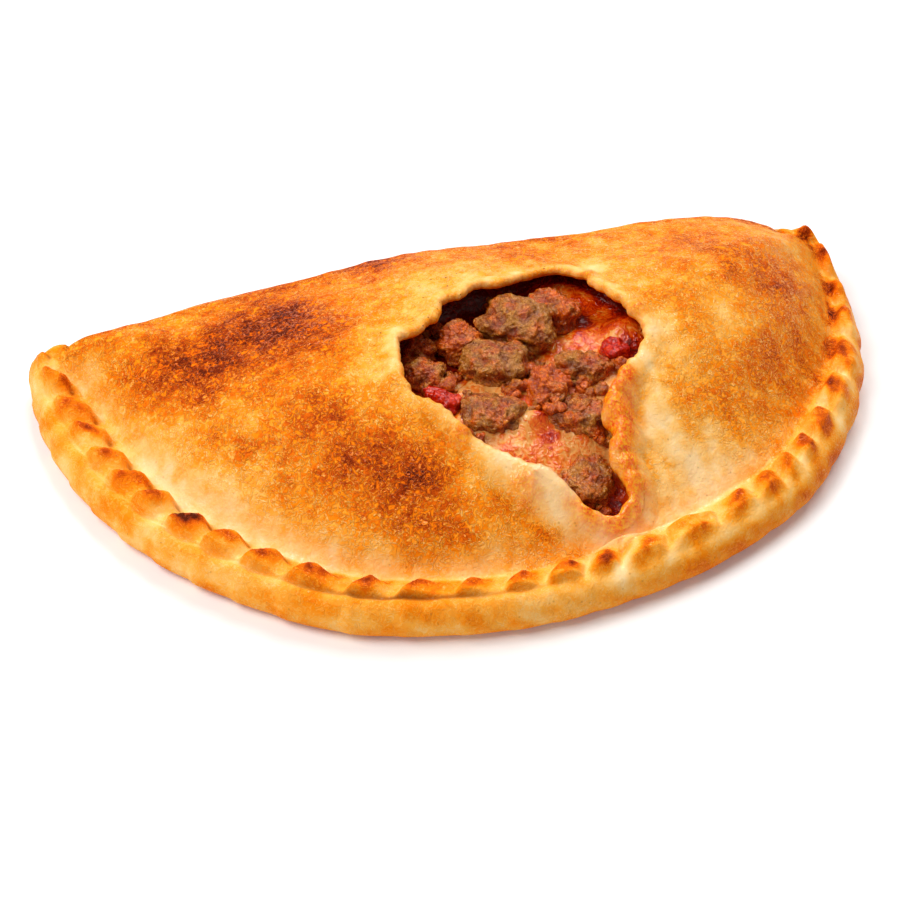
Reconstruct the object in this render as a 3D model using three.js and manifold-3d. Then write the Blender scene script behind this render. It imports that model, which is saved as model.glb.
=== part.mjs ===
// Calzone: a round of pizza dough folded over minced meat, tomato and melted cheese. The open edge
// is crimped by thumb into a rope of scales, and the top puffed up in the oven. A torn hole in the
// top shows the filling. Millimetres, +Z up, resting on its flat base. The crimped edge faces -Y
// and the fold faces +Y; the origin is on the base, under the middle of the whole.

import * as THREE from 'three';
import { mergeVertices } from 'three/addons/utils/BufferGeometryUtils.js';
import Module from 'manifold-3d';

const wasm = await Module();
wasm.setup();

// ---------------------------------------------------------------- driving dimensions, mm

const LENGTH = 270; // tip to tip
const DEPTH = 149; // crimped edge to fold
const WIDEST_Y = 54.5; // the tips lie this far towards the fold
const WIDEST_SLANT = -0.037; // and the line that joins them slants a little
const LEFT_CORNER = 8; // how square the left end is, as a superellipse power
const RIGHT_CORNER = 3.3;
const TIP_SHIFT = 0.8; // the right tip lies this much further out than the left
// Where the edge bulges past that plain curve: how far along it, reach, how far out.
const EDGE_BULGES = [[147, 22, 1.6], [235, 30, -1.3], [305, 18, 1.3]];

const EDGE_HEIGHT = 12.5; // top of the rounded outer rim
const WALL_ROUND = 6; // its rounding, seen from above
const VALLEY_HEIGHT = 11.3; // floor of the valley behind the crimps
const FRONT_GIRTH = 5; // height at which the front wall bulges most
const FOLD_GIRTH = 15; // the same at the fold
const DOME_RISE = 36; // how far the puffed top rises over the valley
const DOME_SPREAD = 34; // width over which it reaches that rise
const RAMP = [8, 0.5]; // the dome climbs over this length and share of the width
const SHOULDER = [8, 0.33]; // and rounds over to the fold within this
const FOLD_ROUND = 2.3; // superellipse power of that shoulder
const GIRTH_EASE = 40; // the girth rises from front to fold over this

const DOUGH = 5; // thickness of the puffed top
const BASE_DOUGH = 4; // thickness of the base
const STEEPEST = 1.7; // the dough's height is at most this many times its thickness
const GAP = 0.3; // between neighbouring pieces
const SHEET_GAP = 0.7; // between the filling and the dough above it
const SIDE_GAP = 1; // and the dough round it

// Crimps: where each scale's crest crosses the middle of the strip, as steps along the edge.
const CRIMP_START = -15;
const CRIMP_END = 436;
const FIRST_CRIMP = -12;
const CRIMP_STEPS = [15, 12, 13, 15, 13, 14, 16, 14, 15, 15, 21, 15, 17, 16, 14, 13, 11,
  20, 20, 14, 11, 11, 12, 17, 21, 20, 16, 14, 19];
const END_STEP = 14; // the step beyond the first and the last
const CRIMP_HEIGHT = 4.2;
const RISE_SHARE = 0.3; // share of the step before a crest over which it rises
const FALL_SHARE = 0.75; // share of the step after it over which it falls away
const CRIMP_LEAN = 0.65; // how far a scale leans along the edge for each mm inwards
const CRIMP_MIDDLE = 10; // distance of a scale's middle from the edge
const CRIMP_OUTER = [5.6, 2.6]; // it starts this far in, at the left and at the right
const CRIMP_OUTER_EASE = 3; // and is full this much further on
const LOBES_FROM = 205; // past here the scales widen to plump lobes
const LOBES_EASE = 70;
const CRIMP_INNER = [3.5, 4]; // it fades this far short of the strip's width, over this
const CRIMP_ENDS = [4, 6]; // lengths over which the first and the last fade
const STRIP_LEFT = 19; // width of the crimped strip at its two ends
const STRIP_RIGHT = 12.5;
const STRIP_TIPS = [10, 7.5]; // and where it runs out at the corners
const STRIP_FADES = [45, 110]; // lengths over which it narrows there
const GROOVE_AT = 7.4; // crease between the outer rim and the scales
const GROOVE_DEEP = 1;
const GROOVE_WIDE = 1.2;
const SCALLOP = 1.6; // how far each scale pushes the edge out

// Broad swells and hollows of the puffed top: x, y, reach, height.
const SWELLS = [
  [-78, 50, 40, -13], [-36, 58, 26, -4], [35, 56, 32, -7.5], [75, 52, 24, -5],
  [-112, 58, 18, 3], [-48, -18, 16, 1.6], [88, 2, 15, 1.5],
];
// The two corners, where the crimps end, stand up a little as a whole.
const CORNERS = [[120, 67, 18, 9.5], [-121, 66, 14, 5]];

// The torn hole: its rim points in order, seen from above, and the middle they are seen from.
const TEAR_MIDDLE = [12, -10];
const TEAR = [
  [-27, 3], [-26, 9], [-24, 13], [-19, 14], [-15, 17], [-11, 19], [-9, 24], [-6, 27], [-1, 28],
  [4, 31], [9, 31], [15, 32], [21, 35], [27, 37], [33, 36], [37, 31], [39, 25], [41, 18],
  [44, 13], [46, 7], [48, 2], [46, -4], [42, -8], [37, -12], [32, -17], [28, -21], [27, -25],
  [29, -29], [26, -33], [25.5, -37], [27.5, -42], [27, -46], [22, -48], [17, -45], [12, -40],
  [7, -35], [0, -32], [-8, -27], [-14, -21], [-20, -13], [-25, -9], [-27, -3],
];
const LIP_RADIUS = 2.2; // rounding of the torn edge
const LIP_RISE = 1.2; // how far it curls up
const LIP_REACH = 3.4; // width of that curl
const LIP_ROLLS = [[8, -38, 12, 2.2], [31, -24, 8, 1.3]]; // where it rolls up higher
const LIP_THICKENS = [2, 6]; // behind it the dough reaches its own thickness

const CHEESE_LEVEL = 31; // top of the melted filling
const CHEESE_DEPTH = 7; // and how far it stays below the dough on the front slope
const LEAST_CHEESE = 4; // its least thickness
const STRING_RISE = 7; // cheese stretched up towards the right of the hole
const STRING_AT = [46, 9];
const STRING_REACH = 9;

// Pieces that lie on the cheese: x, y, middle height, length, width, height, turn in degrees.
const MEAT = [
  [14, 19, 36, 25, 18, 13, -35],
  [27, 24, 34, 18, 13, 12, -45],
  [-5, 18, 34, 15, 13, 12, 15],
  [3, 6, 33.5, 21, 15, 12, -20],
  [28, -1, 31.5, 18, 12, 11, -30],
  [16, -6, 30.5, 13, 13, 12, 10],
  [-4, -12, 29.5, 20, 15, 12, -30],
  [22, -17, 27, 19, 15, 12, -15],
  [19, -35, 17.5, 16, 17, 12, -60],
  [-19, 7, 33, 13, 10, 9, -20],
  [-17, 20, 31, 10, 9, 9, 0],
];
const TOMATO = [
  [-17, -4, 31.5, 13, 9, 7, -40],
  [40, 3, 32.5, 10, 9, 8, 20],
  [12, -23, 22.5, 9, 7, 5, -10],
];

const EDGE_STEPS = 1440;
const FOLD_COLUMNS = 25;
const TEAR_STEPS = 720;
const INNER_START = 3; // the cavity starts this far past the strip
const LIP_ZONE = 9; // the dome's rings end this far from the tear
const ZONE_SHARE = 0.7; // or at this share of the room between it and the cavity's side

// ---------------------------------------------------------------- small maths

const mix = (a, b, t) => a + (b - a) * t;
const clamp = (t) => Math.min(1, Math.max(0, t));
const smooth = (t) => clamp(t) ** 2 * (3 - 2 * clamp(t));
const bell = (t) => Math.exp(-t * t);

// ---------------------------------------------------------------- outline seen from above

function edgePoint(turn) {
  const x = (-Math.cos(turn) * LENGTH) / 2;
  const tipY = WIDEST_Y + WIDEST_SLANT * x;
  if (turn <= Math.PI) return [x + TIP_SHIFT, tipY - (tipY + DEPTH / 2) * Math.sin(turn)];
  const power = x < 0 ? LEFT_CORNER : RIGHT_CORNER;
  const across = (1 - Math.abs(Math.cos(turn)) ** power) ** (1 / power);
  return [x + TIP_SHIFT, tipY + (DEPTH / 2 - tipY) * across];
}

function measureEdge() {
  const points = [];
  for (let i = 0; i < EDGE_STEPS; i += 1) points.push(edgePoint((i / EDGE_STEPS) * 2 * Math.PI));
  let along = 0;
  const edge = points.map(([x, y], i) => {
    const [nx, ny] = points[(i + 1) % EDGE_STEPS];
    const [px, py] = points[(i + EDGE_STEPS - 1) % EDGE_STEPS];
    const size = Math.hypot(nx - px, ny - py);
    const inX = -(ny - py) / size;
    const inY = (nx - px) / size;
    const out = EDGE_BULGES.reduce((sum, [at, reach, far]) => sum + far * bell((along - at) / reach), 0);
    const here = { x: x - inX * out, y: y - inY * out, along, inX, inY };
    along += Math.hypot(nx - x, ny - y);
    return here;
  });
  return { edge, total: along };
}

const { edge, total: EDGE_LENGTH } = measureEdge();
for (const p of edge) if (p.along > EDGE_LENGTH + CRIMP_START * 4) p.along -= EDGE_LENGTH;
const isCrimped = (p) => p.along >= CRIMP_START && p.along <= CRIMP_END;
const crimpedEdge = edge.filter(isCrimped);
const foldEdge = edge.filter((p) => !isCrimped(p));

function nearest(list, x, y) {
  let best = list[0];
  let least = Infinity;
  for (const p of list) {
    const far = (p.x - x) ** 2 + (p.y - y) ** 2;
    if (far < least) {
      least = far;
      best = p;
    }
  }
  return { point: best, distance: Math.sqrt(least) };
}

function edgeAt(along) {
  const start = edge[0].along;
  const wrapped = along < start ? along + EDGE_LENGTH : along;
  let best = edge[0];
  for (const p of edge) {
    const own = p.along < start ? p.along + EDGE_LENGTH : p.along;
    const bestOwn = best.along < start ? best.along + EDGE_LENGTH : best.along;
    if (Math.abs(own - wrapped) < Math.abs(bestOwn - wrapped)) best = p;
  }
  return best;
}

function stripWidth(along) {
  const middle = mix(STRIP_LEFT, STRIP_RIGHT, clamp(along / (CRIMP_END + CRIMP_START)));
  const fromLeft = smooth((along - CRIMP_START) / STRIP_FADES[0]);
  const fromRight = smooth((CRIMP_END - along) / STRIP_FADES[1]);
  return mix(STRIP_TIPS[0], mix(STRIP_TIPS[1], middle, fromRight), fromLeft);
}

// ---------------------------------------------------------------- crimps

const crimps = CRIMP_STEPS.reduce((list, step) => [...list, list.at(-1) + step], [FIRST_CRIMP]);

const stepAfter = (k) => CRIMP_STEPS[k] ?? END_STEP;

// One scale rises steeply on its near side and falls away slowly to the foot of the next.
function scaleHeight(along, inward) {
  const at = along - CRIMP_LEAN * (inward - CRIMP_MIDDLE);
  let k = 0;
  while (k < crimps.length - 1 && at > crimps[k + 1] - RISE_SHARE * stepAfter(k)) k += 1;
  const off = at - crimps[k];
  if (off < 0) return smooth(1 + off / (RISE_SHARE * stepAfter(k - 1)));
  return 1 - smooth(off / (FALL_SHARE * stepAfter(k)));
}

function crimpRelief(along, inward) {
  const width = stripWidth(along);
  const lobe = smooth((along - LOBES_FROM) / LOBES_EASE);
  const outer = smooth((inward - mix(CRIMP_OUTER[0], CRIMP_OUTER[1], lobe)) / CRIMP_OUTER_EASE);
  const inner = 1 - smooth((inward - width + CRIMP_INNER[0]) / CRIMP_INNER[1]);
  const first = smooth((along - CRIMP_START) / CRIMP_ENDS[0]);
  const last = smooth((CRIMP_END - along) / CRIMP_ENDS[1]);
  return CRIMP_HEIGHT * first * last * outer * inner * scaleHeight(along, inward);
}

// ---------------------------------------------------------------- surfaces of the dough

function swell(list, x, y) {
  return list.reduce((sum, [sx, sy, reach, high]) => (
    sum + high * bell(Math.hypot(x - sx, y - sy) / reach)), 0);
}

// Height of the unbroken top at a place, with or without its crimps.
function topHeight(x, y, withCrimps) {
  const front = nearest(crimpedEdge, x, y);
  const back = nearest(foldEdge, x, y);
  const { along } = front.point;
  const strip = stripWidth(along);
  const past = Math.max(front.distance - strip, 0);
  const width = past + back.distance;
  const rise = Math.sin((Math.PI / 2) * clamp(past / (RAMP[0] + RAMP[1] * width)));
  const high = DOME_RISE * (1 - Math.exp(-width / DOME_SPREAD)) + swell(SWELLS, x, y);
  const raise = swell(CORNERS, x, y);
  const girth = mix(FRONT_GIRTH, FOLD_GIRTH, smooth(past / GIRTH_EASE));
  const shoulder = clamp(back.distance / (SHOULDER[0] + SHOULDER[1] * width));
  const lift = (1 - (1 - shoulder) ** FOLD_ROUND) ** (1 / FOLD_ROUND);
  const dome = mix(girth, VALLEY_HEIGHT + raise + high * rise, lift);
  if (front.distance >= strip) return dome;
  const round = Math.sqrt(1 - (1 - clamp(front.distance / WALL_ROUND)) ** 2);
  const crest = EDGE_HEIGHT + raise;
  const rim = mix(FRONT_GIRTH, crest, round);
  const fall = (EDGE_HEIGHT - VALLEY_HEIGHT) * smooth((front.distance - WALL_ROUND) / strip);
  const corner = back.distance < FRONT_GIRTH ? mix(FRONT_GIRTH, crest, lift) : crest;
  const plain = Math.min(rim - fall, corner);
  if (!withCrimps) return plain;
  const groove = GROOVE_DEEP * bell((front.distance - GROOVE_AT) / GROOVE_WIDE);
  return plain - groove + crimpRelief(along, front.distance);
}

// Height of the underside of the top, allowing for the slope.
function underHeight(x, y) {
  const here = topHeight(x, y, false);
  const step = 1.5;
  const slopeX = (topHeight(x + step, y, false) - topHeight(x - step, y, false)) / (2 * step);
  const slopeY = (topHeight(x, y + step, false) - topHeight(x, y - step, false)) / (2 * step);
  return here - DOUGH * Math.min(STEEPEST, Math.hypot(1, slopeX, slopeY));
}

// ---------------------------------------------------------------- the tear

const tearCurve = new THREE.CatmullRomCurve3(
  TEAR.map(([x, y]) => new THREE.Vector3(x, y, 0)), true, 'centripetal');
const tearRim = tearCurve.getPoints(TEAR_STEPS).slice(0, TEAR_STEPS)
  .map(({ x, y }) => ({ x, y }));

function tearRadius(direction) {
  let best = 0;
  let least = Infinity;
  for (const p of tearRim) {
    const x = p.x - TEAR_MIDDLE[0];
    const y = p.y - TEAR_MIDDLE[1];
    const turn = Math.atan2(y, x) - direction;
    const off = Math.abs(Math.atan2(Math.sin(turn), Math.cos(turn)));
    if (off < least) {
      least = off;
      best = Math.hypot(x, y);
    }
  }
  return best;
}

const lipCurl = (distance, x, y) => (
  (LIP_RISE + swell(LIP_ROLLS, x, y)) * bell((distance - LIP_RADIUS) / LIP_REACH));

function lipHeights(x, y) {
  const { distance } = nearest(tearRim, x, y);
  const top = topHeight(x, y, true) + lipCurl(distance, x, y);
  const bend = Math.sqrt(1 - (1 - clamp(distance / LIP_RADIUS)) ** 2);
  const thick = smooth((distance - LIP_THICKENS[0]) / LIP_THICKENS[1]);
  const under = mix(top - 2 * LIP_RADIUS, underHeight(x, y), thick);
  return {
    top: top - LIP_RADIUS * (1 - bend),
    under: mix(top - LIP_RADIUS, under, bend),
  };
}

// ---------------------------------------------------------------- columns and rings

// Each column runs from the edge to the tear, and every scale gets three of them: at its foot, on
// its crest and part of the way down.
function columnStarts() {
  const starts = [];
  crimps.forEach((at, k) => {
    starts.push(at - 1.05 * RISE_SHARE * stepAfter(k - 1), at, at + 0.5 * FALL_SHARE * stepAfter(k));
  });
  const last = starts.at(-1);
  const left = starts[0] + EDGE_LENGTH - last;
  for (let i = 1; i < FOLD_COLUMNS; i += 1) starts.push(last + (left * i) / FOLD_COLUMNS);
  const lastAlong = EDGE_LENGTH + edge.at(-1).along;
  return starts.map((along) => (along > lastAlong ? along - EDGE_LENGTH : along));
}

function makeColumn(start) {
  const crimped = start > CRIMP_START && start < CRIMP_END;
  const depth = crimped ? stripWidth(start) : mix(STRIP_TIPS[0], STRIP_TIPS[1], clamp(edgeAt(start).x));
  const place = (inward, outward = 0) => {
    const lean = crimped ? CRIMP_LEAN * (inward - CRIMP_MIDDLE) * smooth(depth / STRIP_RIGHT) : 0;
    const p = edgeAt(Math.max(start + (start < 20 ? 0 : lean), CRIMP_START * 3));
    const homeX = TEAR_MIDDLE[0] - p.x;
    const homeY = TEAR_MIDDLE[1] - p.y;
    const home = Math.hypot(homeX, homeY);
    const dirX = p.inX + homeX / home;
    const dirY = p.inY + homeY / home;
    const size = Math.hypot(dirX, dirY);
    return [p.x + (dirX / size) * inward - p.inX * outward,
      p.y + (dirY / size) * inward - p.inY * outward];
  };
  const inner = place(depth);
  const direction = Math.atan2(inner[1] - TEAR_MIDDLE[1], inner[0] - TEAR_MIDDLE[0]);
  const reach = Math.hypot(inner[1] - TEAR_MIDDLE[1], inner[0] - TEAR_MIDDLE[0]);
  const hole = tearRadius(direction);
  const onRay = (radius) => [TEAR_MIDDLE[0] + radius * Math.cos(direction),
    TEAR_MIDDLE[1] + radius * Math.sin(direction)];
  const lipZone = Math.min(LIP_ZONE, ZONE_SHARE * (reach - INNER_START - hole));
  return { start, crimped, depth, place, reach, hole, lipZone, onRay };
}

const columns = columnStarts().map(makeColumn);
const thinned = columns.filter((_, i) => i % 2 === 0);
const scallop = ({ crimped, start }) => (
  crimped ? SCALLOP * (scaleHeight(start, CRIMP_MIDDLE) - 0.5) : 0);

// Faces between two rings; the upper one may have half as many points as the lower.
function bridge(low, lowCount, high, highCount) {
  const faces = [];
  const each = lowCount / highCount;
  for (let i = 0; i < highCount; i += 1) {
    const next = (i + 1) % highCount;
    const first = low + i * each;
    const second = low + ((i * each + 1) % lowCount);
    faces.push(first, second, high + i, second, high + next, high + i);
    if (each === 2) faces.push(second, low + next * each, high + next);
  }
  return faces;
}

// A closed skin over a stack of rings, with a point in the middle of the first and the last.
function skin(rings, firstPole, lastPole) {
  const positions = [...firstPole];
  const starts = rings.map((ring) => {
    const start = positions.length / 3;
    for (const point of ring) positions.push(...point);
    return start;
  });
  const last = positions.length / 3;
  positions.push(...lastPole);
  const faces = [];
  rings[0].forEach((_, i) => faces.push(0, 1 + ((i + 1) % rings[0].length), 1 + i));
  for (let r = 0; r < rings.length - 1; r += 1) {
    faces.push(...bridge(starts[r], rings[r].length, starts[r + 1], rings[r + 1].length));
  }
  const top = starts.at(-1);
  rings.at(-1).forEach((_, i, ring) => faces.push(top + i, top + ((i + 1) % ring.length), last));
  const geometry = new THREE.BufferGeometry();
  geometry.setAttribute('position', new THREE.Float32BufferAttribute(positions, 3));
  geometry.setIndex(faces);
  return geometry;
}

// ---------------------------------------------------------------- crust

const WALL_RINGS = [[5, 0], [1.4, 0.3], [0, 1]]; // inset, and share of the girth's height
const STRIP_RINGS = [0.08, 0.2, 0.38, 0.46, 0.62, 0.8, 1]; // shares of the strip's width
const DOME_RINGS = [0.1, 0.22, 0.36, 0.52, 0.68, 0.83]; // shares of the way to the lip
const LIP_RINGS = [0.78, 0.45, 0.2, 0.06]; // shares of the lip's zone, from the torn edge
const UNDER_START = 0.56; // and where in it the roof's underside starts
const UNDER_RINGS = [0.82, 0.6, 0.4, 0.2, 0];
const CHEESE_RINGS = [0.88, 0.6, 0.3]; // shares of the way from the middle to the torn edge
const LEAST_CAVITY = 2.5; // height of the cavity at its side

function crustSolid() {
  const rings = [];
  rings.push(columns.map((c) => [...c.onRay(0.55 * c.reach), 0]));
  for (const [inset, share] of WALL_RINGS) {
    rings.push(columns.map((c) => {
      const girth = c.crimped ? FRONT_GIRTH : mix(FRONT_GIRTH, FOLD_GIRTH, foldShare(c.start));
      return [...c.place(inset, inset ? 0 : scallop(c)), share * girth];
    }));
  }
  for (const share of STRIP_RINGS) {
    rings.push(columns.map((c) => {
      const [x, y] = c.place(share * c.depth, scallop(c) * (1 - share));
      return [x, y, topHeight(...c.place(share * c.depth), true)];
    }));
  }
  for (const share of DOME_RINGS) {
    rings.push(columns.map((c) => {
      const [x, y] = c.onRay(mix(c.reach, c.hole + c.lipZone, share));
      return [x, y, topHeight(x, y, true)];
    }));
  }
  for (const far of LIP_RINGS) {
    rings.push(columns.map((c) => {
      const [x, y] = c.onRay(c.hole + far * c.lipZone);
      return [x, y, lipHeights(x, y).top];
    }));
  }
  rings.push(columns.map((c) => {
    const [x, y] = c.onRay(c.hole);
    return [x, y, lipHeights(x, y).top];
  }));
  rings.push(columns.map((c) => underLip(c, LIP_RINGS[2])));
  rings.push(...cavityRings(0, 0));
  rings.push(cavityRings(0, 0).at(-1).map(([x, y]) => [x, y, BASE_DOUGH]));
  const [x, y] = TEAR_MIDDLE;
  return skin(rings, [x, y, 0], [x, y, BASE_DOUGH]);
}

// Share of the full fold at a place on the edge: none beside the crimps, all of it further on.
function foldShare(along) {
  const fromRight = along - CRIMP_END;
  const fromLeft = CRIMP_START - (along > CRIMP_END ? along - EDGE_LENGTH : along);
  return smooth(Math.min(fromRight, fromLeft) / 40);
}

function underLip(column, far) {
  const [x, y] = column.onRay(column.hole + far * column.lipZone);
  return [x, y, lipHeights(x, y).under];
}

// Rings of the cavity's roof from the lip to its side, drawn in by the gaps for what fills it.
function cavityRings(sideGap, roofGap) {
  const near = thinned.map((c) => {
    const [x, y, z] = underLip(c, UNDER_START);
    return [x, y, z - roofGap];
  });
  const others = UNDER_RINGS.map((share) => thinned.map((c) => {
    const radius = mix(c.reach - INNER_START, c.hole + c.lipZone, share);
    const [x, y] = c.onRay(radius);
    const z = Math.max(underHeight(x, y), BASE_DOUGH + LEAST_CAVITY);
    return [...c.onRay(radius - sideGap), z - roofGap];
  }));
  return [near, ...others];
}

// ---------------------------------------------------------------- filling

function cheeseLevel(x, y) {
  const string = STRING_RISE * bell(Math.hypot(x - STRING_AT[0], y - STRING_AT[1]) / STRING_REACH);
  const level = Math.min(CHEESE_LEVEL, topHeight(x, y, false) - CHEESE_DEPTH) + string;
  return Math.max(level, BASE_DOUGH + LEAST_CHEESE);
}

function fillingSolid() {
  const roof = cavityRings(SIDE_GAP, SHEET_GAP).reverse();
  const rings = [roof[0].map(([x, y]) => [x, y, BASE_DOUGH + GAP]), ...roof.slice(0, -1)];
  rings.push(roof.at(-1).map(([x, y, z]) => [x, y, Math.min(z, cheeseLevel(x, y))]));
  rings.push(thinned.map((c) => {
    const [x, y, z] = underLip(c, LIP_RINGS[2]);
    return [x, y, Math.min(z - SHEET_GAP, cheeseLevel(x, y))];
  }));
  for (const share of CHEESE_RINGS) {
    rings.push(thinned.map((c) => {
      const [x, y] = c.onRay(share * c.hole);
      return [x, y, cheeseLevel(x, y)];
    }));
  }
  const [x, y] = TEAR_MIDDLE;
  return skin(rings, [x, y, BASE_DOUGH + GAP], [x, y, cheeseLevel(x, y)]);
}

// ---------------------------------------------------------------- pieces on the filling

function lumpSolid([x, y, z, length, width, height, turn], seed, grow) {
  const ball = new THREE.IcosahedronGeometry(1, 2);
  ball.deleteAttribute('normal');
  ball.deleteAttribute('uv');
  const lump = mergeVertices(ball, 1e-4);
  const place = lump.attributes.position;
  const radians = THREE.MathUtils.degToRad(turn);
  for (let i = 0; i < place.count; i += 1) {
    const v = new THREE.Vector3().fromBufferAttribute(place, i);
    const square = (v.x ** 4 + v.y ** 4 + v.z ** 4) ** 0.25;
    const bumps = 0.07 * Math.sin(3.1 * v.x + 1.7 * seed) * Math.cos(2.7 * v.y - seed)
      + 0.06 * Math.sin(5.3 * v.z + 2.3 * seed + 3.7 * v.y);
    v.multiplyScalar((0.45 + 0.55 / square) * (0.96 + bumps));
    v.set((v.x * length) / 2, (v.y * width) / 2, (v.z * height) / 2);
    v.multiplyScalar(1 + grow / (0.45 * height)).applyAxisAngle(new THREE.Vector3(0, 0, 1), radians);
    place.setXYZ(i, v.x + x, v.y + y, v.z + z);
  }
  return lump;
}

function toManifold(geometry) {
  const mesh = new wasm.Mesh({
    numProp: 3,
    vertProperties: new Float32Array(geometry.attributes.position.array),
    triVerts: new Uint32Array(geometry.index.array),
  });
  return new wasm.Manifold(mesh);
}

function toGeometry(solid) {
  const bodies = solid.decompose().sort((a, b) => b.volume() - a.volume());
  const mesh = bodies[0].getMesh();
  const geometry = new THREE.BufferGeometry();
  geometry.setAttribute('position', new THREE.Float32BufferAttribute(mesh.vertProperties, 3));
  geometry.setIndex([...mesh.triVerts]);
  return geometry;
}

// ---------------------------------------------------------------- assembly

const crustDough = new THREE.MeshStandardMaterial({ color: '#e0963f', roughness: 0.5, metalness: 0 });
const meltedCheese = new THREE.MeshStandardMaterial({ color: '#e3ab7e', roughness: 0.3, metalness: 0 });
const brownMeat = new THREE.MeshStandardMaterial({ color: '#7d4a2c', roughness: 0.6, metalness: 0 });
const redTomato = new THREE.MeshStandardMaterial({ color: '#b5301a', roughness: 0.3, metalness: 0 });

const group = new THREE.Group();

function addMesh(name, geometry, material) {
  const mesh = new THREE.Mesh(geometry, material);
  mesh.name = name;
  group.add(mesh);
}

const crust = crustSolid();
addMesh('crust', crust, crustDough);

const pieces = [
  ...MEAT.map((piece, i) => ({ name: `meat_${i + 1}`, piece, seed: i + 1, material: brownMeat })),
  ...TOMATO.map((piece, i) => ({ name: `tomato_${i + 1}`, piece, seed: i + 21, material: redTomato })),
];

// Each piece gives way to the ones before it and to the dough, and the cheese to them all.
const crustBody = toManifold(crust);
let cheese = toManifold(fillingSolid());
for (const shift of [[GAP, 0], [-GAP, 0], [0, GAP], [0, -GAP]]) {
  cheese = cheese.subtract(crustBody.translate([...shift, -GAP]));
}
const earlier = [];
for (const { name, piece, seed, material } of pieces) {
  let body = toManifold(lumpSolid(piece, seed, 0)).subtract(crustBody);
  for (const other of earlier) body = body.subtract(other);
  addMesh(name, toGeometry(body), material);
  const grown = toManifold(lumpSolid(piece, seed, GAP));
  earlier.push(grown);
  cheese = cheese.subtract(grown);
}
addMesh('filling', toGeometry(cheese), meltedCheese);

export default group;
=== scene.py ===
# A calzone: a round of pizza dough folded over minced meat, tomato and melted cheese, crimped by
# thumb along the open edge and baked until its top puffed up. A torn hole shows the filling.
import math
import random

import bpy
import numpy as np
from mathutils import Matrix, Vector, kdtree, noise


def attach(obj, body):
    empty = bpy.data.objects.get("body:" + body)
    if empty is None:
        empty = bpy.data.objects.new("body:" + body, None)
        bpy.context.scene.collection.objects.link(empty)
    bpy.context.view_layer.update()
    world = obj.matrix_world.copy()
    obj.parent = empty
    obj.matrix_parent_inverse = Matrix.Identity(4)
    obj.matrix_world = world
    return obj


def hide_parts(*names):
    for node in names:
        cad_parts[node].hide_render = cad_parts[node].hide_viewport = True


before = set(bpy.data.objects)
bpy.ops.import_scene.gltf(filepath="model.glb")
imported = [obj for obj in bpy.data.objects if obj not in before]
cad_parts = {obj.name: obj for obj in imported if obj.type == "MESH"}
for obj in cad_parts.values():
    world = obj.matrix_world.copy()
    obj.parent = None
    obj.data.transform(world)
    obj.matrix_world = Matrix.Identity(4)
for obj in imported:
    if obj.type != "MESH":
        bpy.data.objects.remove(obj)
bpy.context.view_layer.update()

# ---------------------------------------------------------------- crust
# Wheat dough, pressed flat to a round, folded in half over the filling and sealed along the open
# edge with the thumb, which leaves overlapping scales on the left and plump lobes on the right.
# Steam puffed up the top in the oven. The hole was torn open, and its lip rolls up and rounds over.

MM = 0.001  # sizes below are millimetres, as in the frame's own drawing

LENGTH = 270  # from tip to tip
DEPTH = 149  # from the crimped edge to the fold
WIDEST_Y = 54.5  # where the tips lie
WIDEST_SLANT = -0.037
LEFT_CORNER = 8  # how square the fold ends at the left tip
RIGHT_CORNER = 3.3  # and at the right one
TIP_SHIFT = 0.8
# Way along the edge from the left tip, reach and height.
EDGE_BULGES = [(147, 22, 1.6), (235, 30, -1.3), (305, 18, 1.3)]
EDGE_STEPS = 2880
EDGE_SMOOTHING = 24  # the way in from the edge is evened out over this length


def mix(a, b, t):
    return a + (b - a) * t


def smooth(t):
    t = np.clip(t, 0, 1)
    return t * t * (3 - 2 * t)


def bell(t):
    return np.exp(-t * t)


def unit(directions):
    """The same level directions, each of length one."""
    return directions / np.hypot(*directions.T)[:, None]


def evened(directions, steps):
    """Directions round a closed line, averaged over that many of its points."""
    return unit(sum(np.roll(directions, k, 0) for k in range(-steps // 2, steps // 2 + 1)))


def closed_line(rough, steps):
    """A closed line's points at even distances, their way along it, and its length."""
    closed = np.vstack([rough, rough[:1]])
    reach = np.concatenate([[0], np.cumsum(np.hypot(*np.diff(closed, axis=0).T))])
    along = np.arange(steps) * reach[-1] / steps
    points = np.stack([np.interp(along, reach, closed[:, i]) for i in (0, 1)], 1)
    return points, along, reach[-1]


def left_of(points):
    """The level direction to the left of a closed line at each of its points."""
    ahead = np.roll(points, -1, 0) - np.roll(points, 1, 0)
    return unit(np.stack([-ahead[:, 1], ahead[:, 0]], 1))


def folded_edge():
    """The outline from above, starting at the left tip and going round by the crimped edge."""
    turn = np.arange(EDGE_STEPS) * 2 * np.pi / EDGE_STEPS
    x = -np.cos(turn) * LENGTH / 2
    tip_y = WIDEST_Y + WIDEST_SLANT * x
    front_y = tip_y - (tip_y + DEPTH / 2) * np.sin(turn)
    power = np.where(x < 0, LEFT_CORNER, RIGHT_CORNER)
    across = np.maximum(1 - np.abs(np.cos(turn)) ** power, 0) ** (1 / power)
    back_y = tip_y + (DEPTH / 2 - tip_y) * across
    plain = np.stack([x + TIP_SHIFT, np.where(turn <= np.pi, front_y, back_y)], 1)
    points, along, length = closed_line(plain, EDGE_STEPS)
    out = sum(far * bell((along - at) / reach) for at, reach, far in EDGE_BULGES)
    points = points - left_of(points) * out[:, None]
    return points, along, evened(left_of(points), int(EDGE_SMOOTHING / length * EDGE_STEPS)), length


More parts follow.
